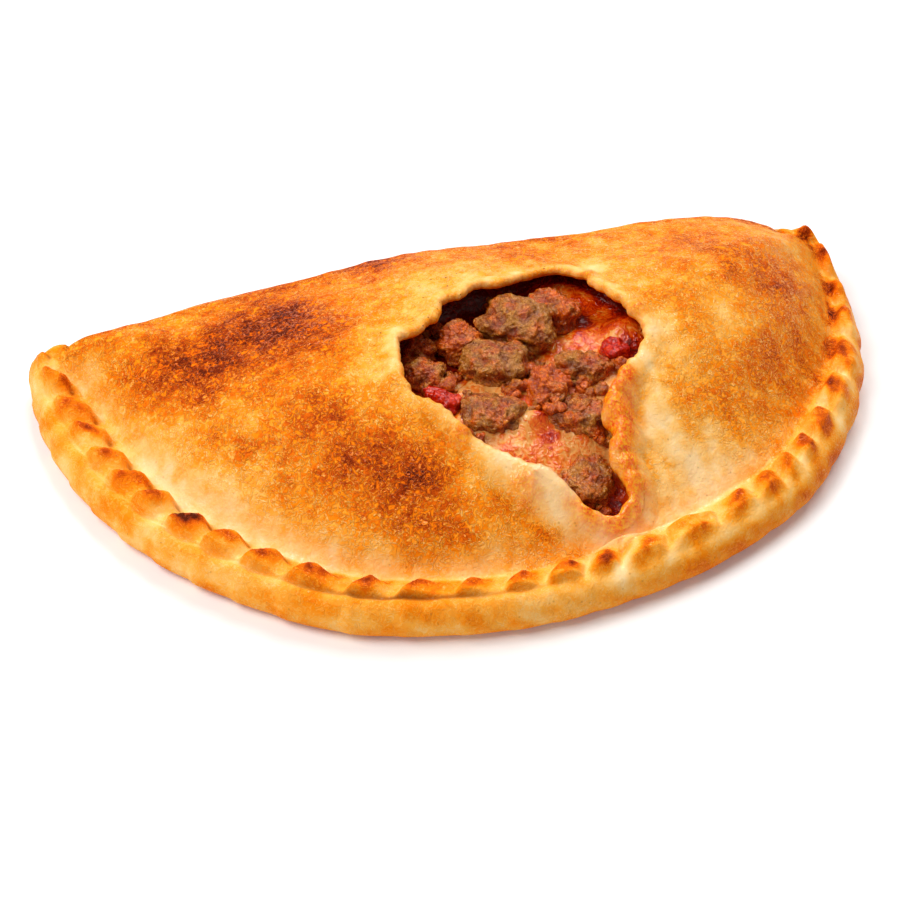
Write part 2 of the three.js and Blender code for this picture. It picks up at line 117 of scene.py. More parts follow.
CRIMP_START = -15  # the crimps run along the edge from here
CRIMP_END = 436  # to here
FIRST_CRIMP = -12
CRIMP_STEPS = [15, 12, 13, 15, 13, 14, 16, 14, 15, 15, 21, 15, 17, 16, 14, 13, 11,
               20, 20, 14, 11, 11, 12, 17, 21, 20, 16, 14, 19]
END_STEP = 14
STRIP_LEFT = 19  # width of the crimped strip
STRIP_RIGHT = 12.5
STRIP_TIPS = (10, 7.5)  # it narrows to this at the left tip and the right one
STRIP_FADES = (45, 110)  # over these lengths

edge, edge_along, edge_inward, EDGE_LENGTH = folded_edge()


def from_left_tip(along):
    """Lengths along the edge, counted below nought on the fold's side of the left tip."""
    return np.where(along > EDGE_LENGTH + 4 * CRIMP_START, along - EDGE_LENGTH, along)


edge_along = from_left_tip(edge_along)
is_crimped = (edge_along >= CRIMP_START) & (edge_along <= CRIMP_END)
crimped_edge = edge[is_crimped]
crimped_along = edge_along[is_crimped]
fold_edge = edge[~is_crimped]

# The left has flat scales and the right has plump lobes, which begin here.
LOBES_FROM = 195
LOBES_EASE = 50
FRONT_MIDDLE = 185  # the very front, where the crimps are lower by this share
FRONT_SPREAD = 45
FRONT_LOW = 0.4
# Of two values in brackets, the first is for the scales and the second for the lobes.
CRIMP_HEIGHT = (4.3, 3.8)
CRIMP_LEAN = (0.7, 0.5)  # how far a crimp leans along the edge for each mm inwards
CRIMP_ARCH = 1.5  # how far a scale trails behind its middle
CRIMP_ARCH_AT = 5  # at this distance from it
CRIMP_MIDDLE = (10.5, 7.4)  # distance of a crimp's middle from the edge
CRIMP_RISE = (0.2, 0.4)  # share of the step over which it rises
CRIMP_FALL = (0.8, 0.6)  # and falls away
CRIMP_OUTER = (6.2, 3.6)  # it starts this far in
CRIMP_EASE = (2.0, 3.6)  # and rises inwards over this
CRIMP_INNER = (2.6, 2.6)  # it ends this far short of the strip's width
INNER_EASE = 2.2
CRIMP_TOE = (4.6, 2.0)  # and it is cut back by this towards the next crimp
TOE_FROM = 0.2  # starting at this share of its length
CRIMP_ENDS = (4, 6)  # the row fades over this at its left end and its right one
TIP_OUTER = -3.4  # added to the start at the left tip
TIP_MIDDLE = 4  # and taken off the middle there
LAST_OUTER = -2.4  # added to the start from here to the right tip
LAST_FROM = 320
LAST_EASE = 40
LOBE_SHARE = 0.75  # how much of a lobe is rounded, the rest being scale
LOBE_PLUMP = 0.7
CRIMP_WANDER = 0.8
OUTER_WANDER = 0.5
CRIMP_LUMPS = (0.45, 0.7)
CREASE_DEEP = (0.8, 0.5)  # between two crimps
CREASE_WIDE = 0.9
CRACK_DEEP = 1.2  # along a scale's inner end
CRACK_WIDE = 0.6
CRACK_AT = 1.6
BAND_SWELL = 0.9  # the rolled rim outside the scales bulges by this
BAND_AT = 3
BAND_WIDE = 3
GROOVE_AT = 6.3  # a groove runs along between that rim and the scales
GROOVE_DEEP = 0.9
GROOVE_WIDE = 0.9
GROOVE_FADE = 0.7  # and fades by this share at the very front
SCALLOP = (0.7, 0.5)  # each crimp pushes the edge out by this
LAST_SCALLOP = 1.1  # and by this much more near the right tip
# How brown each crimp is baked, from the left tip to the right one.
CRIMP_BAKE = np.array([0.8, 0.8, 0.5, 0.8, 0.5, 0.7, 0.6, 1.9, 0.8, 0.8, 0.9, 0.8, 0.7, 0.6,
                       0.6, 0.9, 0.8, 0.55, 0.55, 0.7, 0.7, 0.55, 0.7, 0.9, 0.7, 1.0, 0.9, 0.7,
                       0.7, 0.9])

thumb = random.Random(4)
crimps = FIRST_CRIMP + np.concatenate([[0], np.cumsum(CRIMP_STEPS)])
crimp_size = np.array([thumb.uniform(0.8, 1.1) for _ in crimps])
steps = np.array([END_STEP, *CRIMP_STEPS, END_STEP], float)


def rumple(places, size, seed):
    """Soft noise from -1 to 1 over bumps of that size."""
    return np.array([noise.noise(Vector((x / size, y / size, seed))) for x, y in places]) * 1.6


def is_lobe(along):
    return smooth((along - LOBES_FROM) / LOBES_EASE)


def at_front(along):
    return bell((along - FRONT_MIDDLE) / FRONT_SPREAD)


def strip_width(along):
    middle = mix(STRIP_LEFT, STRIP_RIGHT, np.clip(along / (CRIMP_END + CRIMP_START), 0, 1))
    from_left = smooth((along - CRIMP_START) / STRIP_FADES[0])
    from_right = smooth((CRIMP_END - along) / STRIP_FADES[1])
    return mix(STRIP_TIPS[0], mix(STRIP_TIPS[1], middle, from_right), from_left)


feet = crimps - mix(*CRIMP_RISE, is_lobe(crimps)) * steps[:-1]


def crimp_shape(along, inward):
    """How high the crimps stand at places of the strip, how brown, how pale and how cracked."""
    on_strip = np.stack([along, inward], 1)
    lobe = is_lobe(along)
    width = strip_width(along)
    tip = 1 - smooth((along - CRIMP_START) / STRIP_FADES[0])
    aside = inward - mix(*CRIMP_MIDDLE, lobe) + TIP_MIDDLE * tip
    at = along - mix(*CRIMP_LEAN, lobe) * aside - CRIMP_ARCH * (1 - lobe) * (aside / CRIMP_ARCH_AT) ** 2
    at = at + CRIMP_WANDER * rumple(on_strip, 7, 12.3)

    # Which crimp the place is on, and how far along that crimp from its foot to its end.
    k = np.clip(np.searchsorted(feet, at, side="right") - 1, 0, len(crimps) - 1)
    off = at - crimps[k]
    before, after = steps[k], steps[k + 1]
    rise = mix(*CRIMP_RISE, lobe)
    up = smooth(1 + off / (rise * before))
    down = 1 - smooth(off / (mix(*CRIMP_FALL, lobe) * after))
    scale = np.where(off < 0, up, down)
    phase = np.clip((off + rise * before) / (rise * before + (1 - rise) * after), 0, 1)
    plump = np.sin(np.pi * phase) ** LOBE_PLUMP
    profile = mix(scale, plump, LOBE_SHARE * lobe)

    # The crimps' outer and inner ends.
    tip_shift = TIP_OUTER * tip
    last_shift = LAST_OUTER * smooth((along - LAST_FROM) / LAST_EASE)
    start = mix(*CRIMP_OUTER, lobe) + tip_shift + last_shift
    start = start + OUTER_WANDER * rumple(np.stack([along, inward * 0], 1), 6, 3.9)
    outer = smooth((inward - start) / mix(*CRIMP_EASE, lobe))
    toe = mix(*CRIMP_TOE, lobe) * np.clip((phase - TOE_FROM) / (1 - TOE_FROM), 0, 1)
    past_end = inward - width + mix(*CRIMP_INNER, lobe) + toe
    inner = 1 - smooth(past_end / INNER_EASE)
    ends = smooth((along - CRIMP_START) / CRIMP_ENDS[0]) * smooth((CRIMP_END - along) / CRIMP_ENDS[1])
    high = mix(*CRIMP_HEIGHT, lobe) * (1 - FRONT_LOW * at_front(along)) * crimp_size[k]
    relief = high * profile * outer * inner * ends
    relief = relief + mix(*CRIMP_LUMPS, lobe) * outer * inner * rumple(on_strip, 4.5, 31.7)

    # Creases between the crimps, cracks at their ends, and the rolled rim with its groove.
    after_foot = np.abs(at - feet[k])
    before_foot = np.abs(at - feet[np.minimum(k + 1, len(feet) - 1)])
    crease = bell(np.minimum(after_foot, before_foot) / CREASE_WIDE)
    crease = crease * smooth((inward - start - 1) / 3) * ends * (1 - smooth((inward - width + 1.5) / 2))
    relief = relief - mix(*CREASE_DEEP, lobe) * crease
    crack = bell((past_end - CRACK_AT) / CRACK_WIDE) * bell((phase - 0.5) / 0.2) * (1 - lobe) * ends
    relief = relief - CRACK_DEEP * crack
    band = bell((inward - BAND_AT) / BAND_WIDE) * (1 - lobe) * ends
    relief = relief + BAND_SWELL * band * np.sin(np.pi * ((phase + 0.35) % 1)) ** 2
    groove_at = GROOVE_AT + tip_shift
    groove = bell((inward - groove_at) / GROOVE_WIDE) * (1 - lobe) * ends
    relief = relief - GROOVE_DEEP * groove * (1 - GROOVE_FADE * at_front(along))

    # A crimp browns on its crest and stays pale at its foot. The seam below it stays pale too.
    over = np.where(off > 0, off / after, off / before)
    on_scale = np.where(over > 0, bell((over - 0.13) / 0.24), bell((over + 0.02) / 0.12))
    brown = mix(on_scale, bell((phase - 0.52) / 0.31), lobe)
    blotched = 1 + 0.5 * rumple(on_strip, 3.4, 21.7)
    on_crest = bell((aside - mix(0.9, 0.4, lobe)) / mix(3.2, 4.8, lobe))
    brown = brown * on_crest * CRIMP_BAKE[k] * ends * blotched
    foot = 0.7 * bell((over - 0.85) / 0.2) + 1.4 * bell((phase - 0.05) / 0.07)
    pale = mix(foot, np.maximum(1 - 1.6 * np.sin(np.pi * phase), 0), lobe)
    pale = pale * bell((aside - 0.5) / 6) * ends * mix(1, 0.5, lobe)
    seam = bell((inward - groove_at + 0.4) / 0.8) * (1 - lobe) * ends * (1 - at_front(along))
    thin_line = 0.8 * groove * bell((along - 165) / 34)
    return relief, brown, np.maximum(pale, seam), np.clip(0.7 * crack + thin_line, 0, 1)


EDGE_HEIGHT = 12.5  # top of the rolled edge
WALL_ROUND = 6  # which rounds over this far in
VALLEY_HEIGHT = 11.3  # the dough between the crimps and the puffed top
FRONT_GIRTH = 5  # the wall is widest at this height
FOLD_GIRTH = 15  # and the fold at this one
GIRTH_EASE = 40
DOME_RISE = 36  # the widest part of the dome puffs up by nearly this
DOME_SPREAD = 34
RAMP = (8, 0.5)  # the dome rises over this, and this share of its width
SHOULDER = (8, 0.33)  # and rounds down to the fold over this
FOLD_ROUND = 2.3
# x, y, reach, height
SWELLS = [(-78, 50, 40, -13), (-36, 58, 26, -4), (35, 56, 32, -7.5), (75, 52, 24, -5),
          (-112, 58, 18, 3), (-48, -18, 16, 1.6), (88, 2, 15, 1.5)]
CORNERS = [(122, 67, 17, 8.5), (-121, 66, 14, 6.5)]
DOUGH = 5  # thickness of the top sheet
STEEPEST = 1.7  # measured upright it gets no thicker than this many times
SLOPE_STEP = 1.5
BASE_DOUGH = 4


def nearest(line, places):
    """Index and distance of the line's point nearest to each place."""
    tree = kdtree.KDTree(len(line))
    for i, (x, y) in enumerate(line):
        tree.insert((x, y, 0), i)
    tree.balance()
    found = [tree.find((x, y, 0))[1:] for x, y in places]
    index, distance = np.array(found).T
    return index.astype(int), distance


def swell(hills, places):
    x, y = places.T
    return sum(high * bell(np.hypot(x - hx, y - hy) / reach) for hx, hy, reach, high in hills)


def plain_top(places):
    """Height of the unbroken top without its crimps, and the distances that shape it."""
    index, front = nearest(crimped_edge, places)
    _, back = nearest(fold_edge, places)
    along = crimped_along[index]
    strip = strip_width(along)
    past = np.maximum(front - strip, 0)
    width = past + back
    rise = np.sin(np.pi / 2 * np.clip(past / (RAMP[0] + RAMP[1] * width), 0, 1))
    high = DOME_RISE * (1 - np.exp(-width / DOME_SPREAD)) + swell(SWELLS, places)
    lifted = swell(CORNERS, places)
    girth = mix(FRONT_GIRTH, FOLD_GIRTH, smooth(past / GIRTH_EASE))
    shoulder = np.clip(back / (SHOULDER[0] + SHOULDER[1] * width), 0, 1)
    lift = (1 - (1 - shoulder) ** FOLD_ROUND) ** (1 / FOLD_ROUND)
    dome = mix(girth, VALLEY_HEIGHT + lifted + high * rise, lift)
    crest = EDGE_HEIGHT + lifted
    rounded = np.sqrt(1 - (1 - np.clip(front / WALL_ROUND, 0, 1)) ** 2)
    fall = (EDGE_HEIGHT - VALLEY_HEIGHT) * smooth((front - WALL_ROUND) / strip)
    corner = np.where(back < FRONT_GIRTH, mix(FRONT_GIRTH, crest, lift), crest)
    rim = np.minimum(mix(FRONT_GIRTH, crest, rounded) - fall, corner)
    return np.where(front >= strip, dome, rim), along, front, back, strip


def under_top(places):
    """Height of the top sheet's underside, allowing for its slope."""
    here = plain_top(places)[0]
    slopes = []
    for step in ((SLOPE_STEP, 0), (0, SLOPE_STEP)):
        slopes.append((plain_top(places + step)[0] - plain_top(places - step)[0]) / (2 * SLOPE_STEP))
    return here - DOUGH * np.minimum(STEEPEST, np.hypot(1, np.hypot(*slopes)))


TEAR_MIDDLE = np.array([12, -10])
TEAR = [(-27, 3), (-26, 9), (-24, 13), (-19, 14), (-15, 17), (-11, 19), (-9, 24), (-6, 27), (-1, 28),
        (4, 31), (9, 31), (15, 32), (21, 35), (27, 37), (33, 36), (37, 31), (39, 25), (41, 18),
        (44, 13), (46, 7), (48, 2), (46, -4), (42, -8), (37, -12), (32, -17), (28, -21), (27, -25),
        (29, -29), (26, -33), (25.5, -37), (28, -42), (28, -47), (22.5, -50), (16.5, -47.5),
        (11.5, -42), (6.5, -36.5), (0, -33), (-8, -27.5), (-14, -21), (-20, -13), (-25, -9),
        (-27, -3)]
TEAR_STEPS = 1440
TEAR_EVENING = 5  # the way out from the torn edge is evened out over this length
# The torn edge is thin at the back and the left, and rolls into a thick lip at the front.
LIP_THIN = 1.9
LIP_THICK = [(4, -38, 15, 2.2), (31, -24, 11, 1.4), (22, -50, 8, 1.0), (30, -38, 9, 0.8)]
LIP_RISE = 1.2
LIP_ROLLS = [(4, -38, 14, 3.0), (22, -50, 10, 2.2), (33, -20, 10, 2.4), (30, -38, 9, 2.0),
             (-18, -20, 9, 0.9)]
LIP_REACH = 1.9  # it reaches this many times its rounding further out
LIP_DIP = 0.75  # and the dough dips beyond by this share of its height
LIP_THICKENS = (2, 6)  # its underside passes into the sheet's from here, over this
RAGGED = ((3.4, 0.55), (1.5, 0.28))  # size and depth of the nicks in it
# Blobs of cheese and sauce that boiled over the lip and browned there: x, y, radius, height.
BLOBS = [(37.5, -14.5, 3.6, 1.3), (34.5, -18.5, 4.4, 2.0), (32.5, -24, 4.4, 2.2),
         (32.5, -29.5, 3.4, 1.4), (30, -34, 3.4, 1.5), (31, -38.5, 3.2, 1.5), (32, -44, 3.8, 1.5),
         (28.5, -50.5, 3.4, 0.9), (-1, -41, 4.6, 0.9), (-16, -23.5, 3.2, 0.8), (40, 29, 3, 0.7),
         (49, 8, 3, 0.8), (15, -50, 3.2, 0.6), (22, -53, 3, 0.6)]


def torn_rim():
    """The torn edge from above, against the clock, and the way out from the hole."""
    knots = np.array(TEAR[::-1], float)
    curve = []
    for i in range(len(knots)):
        p0, p1, p2, p3 = (knots[(i + k) % len(knots)] for k in (-1, 0, 1, 2))
        for t in np.arange(0, 1, 0.02):
            curve.append(0.5 * (2 * p1 + (p2 - p0) * t + (2 * p0 - 5 * p1 + 4 * p2 - p3) * t ** 2
                                + (3 * p1 - p0 - 3 * p2 + p3) * t ** 3))
    points, _, length = closed_line(np.array(curve), TEAR_STEPS)
    return points, -evened(left_of(points), int(TEAR_EVENING / length * TEAR_STEPS))


tear, tear_outward = torn_rim()

# The skin is one closed sheet of columns. Each runs up from the base, over the crimps and the
# puffed top to the lip, and back under it. They are shared out between the edge and the tear.
COLUMNS = 720
TEAR_SHARE = 0.35
BASE_ROWS = (0.25, 0.6, 0.9)  # shares of the way from under the tear to the wall
WALL_ROWS = 8
RIM_ROWS = 10
STRIP_ROWS = 30
DOME_ROWS = 44
LIP_ROWS = 8
WALL_INSET = 5  # the wall curves in by this to the base
LIP_ZONE = 5  # the lip's own rows begin at this distance from the tear
INNER_START = 3  # the cavity starts this far in from the crimped strip
PUSHED_AT = 8.5  # the crimps push the edge out by what they rise this far in


def way_in(places, inward):
    """Directions from the edge, halfway between straight in and towards the hole."""
    return unit(inward + unit(TEAR_MIDDLE - places))


def bearing(places):
    """Angle at which each place is seen from the middle of the hole, without a jump."""
    x, y = (places - TEAR_MIDDLE).T
    return np.unwrap(np.arctan2(y, x))


def share_columns():
    """Where on the outline and on the torn rim each column stands, as shares of their lengths."""
    facing = bearing(edge + way_in(edge, edge_inward) * strip_width(edge_along)[:, None])
    rim = np.maximum.accumulate(bearing(tear)) + np.arange(TEAR_STEPS) * 1e-6
    lap = 2 * np.pi
    facing -= lap * np.round((facing[0] - rim.mean()) / lap)
    laps = np.concatenate([rim - lap, rim, rim + lap])
    tear_at = np.interp(facing, laps, np.arange(-TEAR_STEPS, 2 * TEAR_STEPS)) / TEAR_STEPS
    edge_at = np.arange(EDGE_STEPS) / EDGE_STEPS
    span = EDGE_STEPS // 24
    drift = np.mean([np.roll(tear_at - edge_at, k) for k in range(-span, span + 1)], 0)
    blend = edge_at + TEAR_SHARE * drift
    wanted = blend[0] + np.arange(COLUMNS) / COLUMNS
    on_edge = np.interp(wanted, np.append(blend, blend[0] + 1), np.append(edge_at, 1))
    return on_edge, on_edge + np.interp(on_edge, np.append(edge_at, 1), np.append(drift, drift[0]))


def sample(values, share):
    """Values of a closed line at shares of its length."""
    at = (share % 1) * len(values)
    low = np.floor(at).astype(int) % len(values)
    part = at - np.floor(at)
    part = part[:, None] if values.ndim == 2 else part
    return mix(values[low], values[(low + 1) % len(values)], part)


edge_share, tear_share = share_columns()
start = sample(edge, edge_share)
start_along = from_left_tip(edge_share * EDGE_LENGTH)
on_crimps = (start_along > CRIMP_START) & (start_along < CRIMP_END)
inward = unit(sample(edge_inward, edge_share))
way = way_in(start, inward)
strip_depth = np.where(on_crimps, strip_width(start_along),
                       mix(*STRIP_TIPS, np.clip(start[:, 0] / LENGTH + 0.5, 0, 1)))
pushed = crimp_shape(start_along, np.full(COLUMNS, PUSHED_AT))[0] / CRIMP_HEIGHT[0] - 0.5
push_size = mix(*SCALLOP, is_lobe(start_along))
push_size += LAST_SCALLOP * smooth((start_along - LAST_FROM) / LAST_EASE)
scallop = np.where(on_crimps, push_size * pushed, 0)
strip_end = start + way * strip_depth[:, None]
rim_at = sample(tear, tear_share)
rim_out = unit(sample(tear_outward, tear_share))
lip_round = LIP_THIN + swell(LIP_THICK, rim_at)
nicks = sum(depth * rumple(rim_at, size, 1.7 + size) for size, depth in RAGGED)
lip_end = rim_at + rim_out * LIP_ZONE


def past_rim(distance):
    """Places at that distance from the torn edge, out over the dough."""
    nicked = nicks * np.clip(1 - distance / LIP_ZONE, 0, 1)
    return rim_at + rim_out * (distance + nicked)[:, None]


BLOB_BUMPS = 0.5
BLOB_EDGE = 1.25


def blob_height(places):
    x, y = places.T
    bumps = rumple(places, 2.6, 4.9) * BLOB_BUMPS
    total = np.zeros(len(places))
    for bx, by, radius, high in BLOBS:
        near = np.hypot(x - bx, y - by) / radius
        total = np.maximum(total, (high + bumps) * smooth(BLOB_EDGE - near))
    return total


# The base and the wall up to its girth.
rings = []
for share in BASE_ROWS:
    place = mix(TEAR_MIDDLE, start + inward * WALL_INSET, share)
    rings.append(np.column_stack([place, np.zeros(COLUMNS)]))
past_last = (start_along - CRIMP_END) % EDGE_LENGTH
before_first = (CRIMP_START - start_along) % EDGE_LENGTH
to_crimps = np.minimum(past_last, before_first)
girth = mix(FRONT_GIRTH, FOLD_GIRTH, smooth(to_crimps / GIRTH_EASE))
girth = np.where(on_crimps, FRONT_GIRTH, girth)
for turn in np.linspace(0, 90, WALL_ROWS + 1)[:-1]:
    angle = math.radians(turn)
    inset = WALL_INSET * (1 - math.sin(angle)) - scallop * math.sin(angle)
    rings.append(np.column_stack([start + inward * inset[:, None], girth * (1 - math.cos(angle))]))
wall_rings = len(rings)


def rounding(turn):
    """How far a rounded edge has curved in, as a share of its radius, after a turn in degrees."""
    return 1 - math.cos(math.radians(turn))


# The rounded rim, the crimps, the puffed top and the lip. Heights are read at the plain places,
# and the crimps then push the rim in and out.
plain_places = []
pushes = []
rim_shares = [WALL_ROUND * rounding(turn) / strip_depth for turn in np.linspace(0, 90, RIM_ROWS + 1)]
rim_shares += [mix(WALL_ROUND / strip_depth, 1, step) for step in np.linspace(0, 1, STRIP_ROWS + 1)[1:]]
for share in rim_shares:
    plain_places.append(start + way * (share * strip_depth)[:, None])
    pushes.append(inward * (-scallop * (1 - share))[:, None])
for step in np.linspace(0, 1, DOME_ROWS + 1)[1:]:
    plain_places.append(mix(strip_end, lip_end, step))
lip_distances = [mix(LIP_ZONE, lip_round, share) for share in (0.25, 0.5, 0.75, 1)]
lip_distances += [lip_round * rounding(turn) for turn in np.linspace(78, 0, LIP_ROWS)]
first_lip_row = len(plain_places)
for distance in lip_distances:
    plain_places.append(past_rim(distance))
row_count = len(plain_places)
pushes += [np.zeros((COLUMNS, 2))] * (row_count - len(pushes))
flat = np.vstack(plain_places)

plain, along, front, back, strip = plain_top(flat)
relief, crimp_brown, crimp_pale, cracked = (
    np.where(front < strip + 2, part, 0) for part in crimp_shape(along, front))
_, lip_distance = nearest(tear, flat)
for row, distance in enumerate(lip_distances, first_lip_row):
    lip_distance[row * COLUMNS:(row + 1) * COLUMNS] = distance
radius = np.tile(lip_round, row_count)

# The top sheet evens itself out like stretched cloth, away from the crimps, the fold and the lip.
EVENING = 60
EVENED_BY = 0.9
# Size, seed and depth of the dome's uneven places.
DOME_WAVES = ((26, 3.1, 0.6), (9, 8.7, 0.35), (4, 2.2, 0.16))
WALL_WAVES = 0.25
BACK_LOW = 1.8  # it sags a little behind the hole
VALLEY_DIP = 2.2  # and lies low beside the scales
loose = smooth((front - strip) / 8) * smooth(back / 10) * smooth((lip_distance - 3) / 6)
loose = loose.reshape(row_count, COLUMNS)
beside_fold = smooth((front - strip - 2) / 8) * (1 - smooth((back - 4) / 14))
beside_fold = beside_fold.reshape(row_count, COLUMNS)
sheet = plain.reshape(row_count, COLUMNS)
for _ in range(EVENING):
    up_down = np.vstack([sheet[:1], sheet[:-1]]) + np.vstack([sheet[1:], sheet[-1:]])
    sides = np.roll(sheet, 1, 1) + np.roll(sheet, -1, 1)
    sheet = sheet + EVENED_BY * loose * ((up_down + sides) / 4 - sheet)
    sheet = sheet + EVENED_BY * beside_fold * (sides / 2 - sheet)
plain = sheet.ravel()

on_dome = smooth((front - strip) / 6) * smooth(back / 6)
top = plain + relief + blob_height(flat)
top += on_dome * sum(rumple(flat, size, seed) * depth for size, seed, depth in DOME_WAVES)
top += (1 - on_dome) * rumple(flat, 5, 5.5) * WALL_WAVES * smooth(front / 4)
over_lip = np.maximum(lip_distance - radius, 0) / (LIP_REACH * radius)
tube = 0.7 * np.sqrt(np.clip(1 - over_lip ** 2, 0, 1)) + 0.3 * bell(over_lip)
roll = swell(LIP_ROLLS, flat)
top += (LIP_RISE + roll) * tube - LIP_DIP * roll * bell((over_lip - 1.35) / 0.55)
top -= VALLEY_DIP * bell((front - strip - 1) / 4) * (1 - is_lobe(along)) * smooth((back - 6) / 14)
top -= BACK_LOW * bell(np.hypot(flat[:, 0] - 45, (flat[:, 1] - 62) * 2) / 55)
bend = np.sqrt(1 - (1 - np.clip(lip_distance / radius, 0, 1)) ** 2)
height = top - radius * (1 - bend)
for row, (place, push) in enumerate(zip(plain_places, pushes)):
    rings.append(np.column_stack([place + push, height[row * COLUMNS:(row + 1) * COLUMNS]]))
rim_top = top[-COLUMNS:]

# The underside of the lip, and the cavity that holds the filling.
for turn in (20, 40, 60, 78):
    distance = lip_round * rounding(turn)
    under = rim_top - lip_round * (1 + math.sin(math.radians(turn)))
    rings.append(np.column_stack([past_rim(distance), under]))
for share in (0, 0.5, 1):
    distance = mix(lip_round, LIP_ZONE, share)
    place = past_rim(distance)
    thick = smooth((distance - LIP_THICKENS[0]) / LIP_THICKENS[1])
    rings.append(np.column_stack([place, mix(rim_top - 2 * lip_round, under_top(place), thick)]))
CAVITY_SHARES = (0.08, 0.2, 0.45, 0.7, 1)
LEAST_CAVITY = 2.5
roof = []
for share in CAVITY_SHARES:
    place = mix(lip_end, strip_end + way * INNER_START, share)
    roof.append(np.column_stack([place, np.maximum(under_top(place), BASE_DOUGH + LEAST_CAVITY)]))
roof[0][:, 2] = np.minimum(roof[0][:, 2], rings[-1][:, 2] + 1)
rings += roof
for share in (1, 0.4):
    place = mix(TEAR_MIDDLE, roof[-1][:, :2], share)
    rings.append(np.column_stack([place, np.full(COLUMNS, BASE_DOUGH)]))


def close_skin(name, rings, first, last):
    """A closed mesh over a stack of rings with as many points each."""
    count = len(rings[0])
    here = np.arange(count)
    after = (here + 1) % count
    last_point = 1 + len(rings) * count
    faces = [(0, 1 + b, 1 + a) for a, b in zip(here.tolist(), after.tolist())]
    for r in range(len(rings) - 1):
        low, high = 1 + r * count, 1 + (r + 1) * count
        faces += np.stack([low + here, low + after, high + after, high + here], 1).tolist()
    faces += [(last_point - count + a, last_point - count + b, last_point)
              for a, b in zip(here.tolist(), after.tolist())]
    mesh = bpy.data.meshes.new(name)
    mesh.from_pydata((np.vstack([[first], *rings, [last]]) * MM).tolist(), [], faces)
    mesh.shade_smooth()
    made = bpy.data.objects.new(name, mesh)
    bpy.context.scene.collection.objects.link(made)
    return made


def paint(made, name, values):
    """A value for each point of a mesh, which its material reads."""
    layer = made.data.attributes.new(name, "FLOAT", "POINT")
    layer.data.foreach_set("value", np.asarray(values, np.float32))


crust = close_skin("crust_dough", rings, (*TEAR_MIDDLE, 0), (*TEAR_MIDDLE, BASE_DOUGH))

# How brown each place is baked, from 0, pale cream, through 0.45, golden, to 1, dark brown.
GOLDEN = 0.43
# Size, seed and amount of the blotches all over it.
BLOTCHES = ((22, 4.4, 0.06), (8, 1.1, 0.07), (3.2, 9.3, 0.06))
BLOTCH_DRIFT = np.array([1.2, 0.7])  # they drift along a wall for each mm of its height
# x, y, reach, amount
BROWN_PATCHES = [
    (-63, 35, 19, 0.34), (-52, 47, 8, 0.22), (-88, 32, 15, 0.22), (-79, 44, 12, 0.1),
    (-37, -27, 12, 0.26), (-49, -19, 9, 0.14), (-27, -30, 9, 0.18), (-49, -5, 6, 0.18),
    (-60, -3, 7, 0.15), (-77, -3, 4, 0.25), (-25, -48, 7, 0.18), (-38, -43, 9, 0.1),
    (87, -6, 9, 0.21), (79, 44, 11, 0.2), (87, 25, 5, 0.12), (100, 21, 7, 0.16), (97, 36, 9, 0.08),
    (55, -18, 5, 0.08), (60, -23, 5, 0.08), (76, -19, 9, 0.12), (-19, 62, 12, 0.24), (20, 64, 16, 0.12),
    (-52, 64, 12, 0.12), (-44, 27, 9, 0.14), (-100, 42, 14, 0.1), (104, 0, 8, 0.1),
    (-8, -45, 14, 0.08), (2, -60, 10, 0.1), (-112, 30, 12, 0.06),
]
PALE_PATCHES = [
    (45, -44, 20, 0.22), (60, -36, 14, 0.12), (54, 2, 8, 0.2), (50, -12, 8, 0.18), (44, -26, 9, 0.2),
    (14, 38, 12, 0.16), (42, 34, 9, 0.16), (-26, 19, 12, 0.12), (-34, 6, 9, 0.1), (3, -41, 7, 0.34),
    (-10, -34, 7, 0.22), (16, -54, 10, 0.1), (-12, 34, 12, 0.12), (64, 28, 12, 0.06), (0, 52, 20, 0.06),
    (30, -60, 12, 0.26), (77, 6, 10, 0.17), (8, -48, 6, 0.12), (62, -4, 10, 0.07),
]
VALLEY_PALE = (0.34, 0.5)  # the valley is paler by this, and by the second beside the first scales
VALLEY_REACH = 11
BAND_TONE = (0.32, 0.19)  # the rolled rim is golden on the left and pale on the lower right
BAND_PATCHES = (0.15, 0.1)
WALL_TOAST_AND_SHADE = 0.26  # the foot of the wall on the right is this much browner, partly toasted and partly painted shade
FOLD_TOAST_AND_SHADE = 0.16  # and so is the fold, partly toasted and partly painted shade along the back
CRIMP_BROWN = (0.58, 0.7)
CRIMP_BROWNEST = (1.5, 0.7)
CRIMP_PALE = 0.1
# Painted shade on the inner side of the lobes.
LOBE_INNER_SHADE = 0.06
LIP_PALE_AND_HIGHLIGHT = 0.32  # the rolled lip is pale on top, partly pale dough and partly a painted highlight
LIP_FOOT_SHADE = 0.34  # with a thin line of painted shade at its foot
TEAR_PALE = 0.2  # the torn edge didn't brown
BASE_TONE = 0.6
# Oil also ran down the lip here: x, y, reach, amount.
OILED = [(11, -47, 3.5, 0.5), (17, -51, 3.5, 0.5), (23, -53, 4, 0.5), (28, -49, 4, 0.5),
         (34, -27, 5, 0.4)]
# Dark specks lie thickest behind the hole: x, y, reach, amount.
PEPPER = [(0, 34, 16, 1), (-24, 18, 10, 0.8), (30, 38, 12, 0.8)]
PEPPER_ELSEWHERE = 0.25


def band_tone(along, places):
    """How brown the rolled rim is."""
    on_right = smooth((along - 170) / 70) * (1 - smooth((along - 370) / 40))
    patches = rumple(places, 9, 7.7) * mix(*BAND_PATCHES, on_right) + rumple(places, 4.5, 3.6) * 0.06
    return mix(*BAND_TONE, on_right) + patches


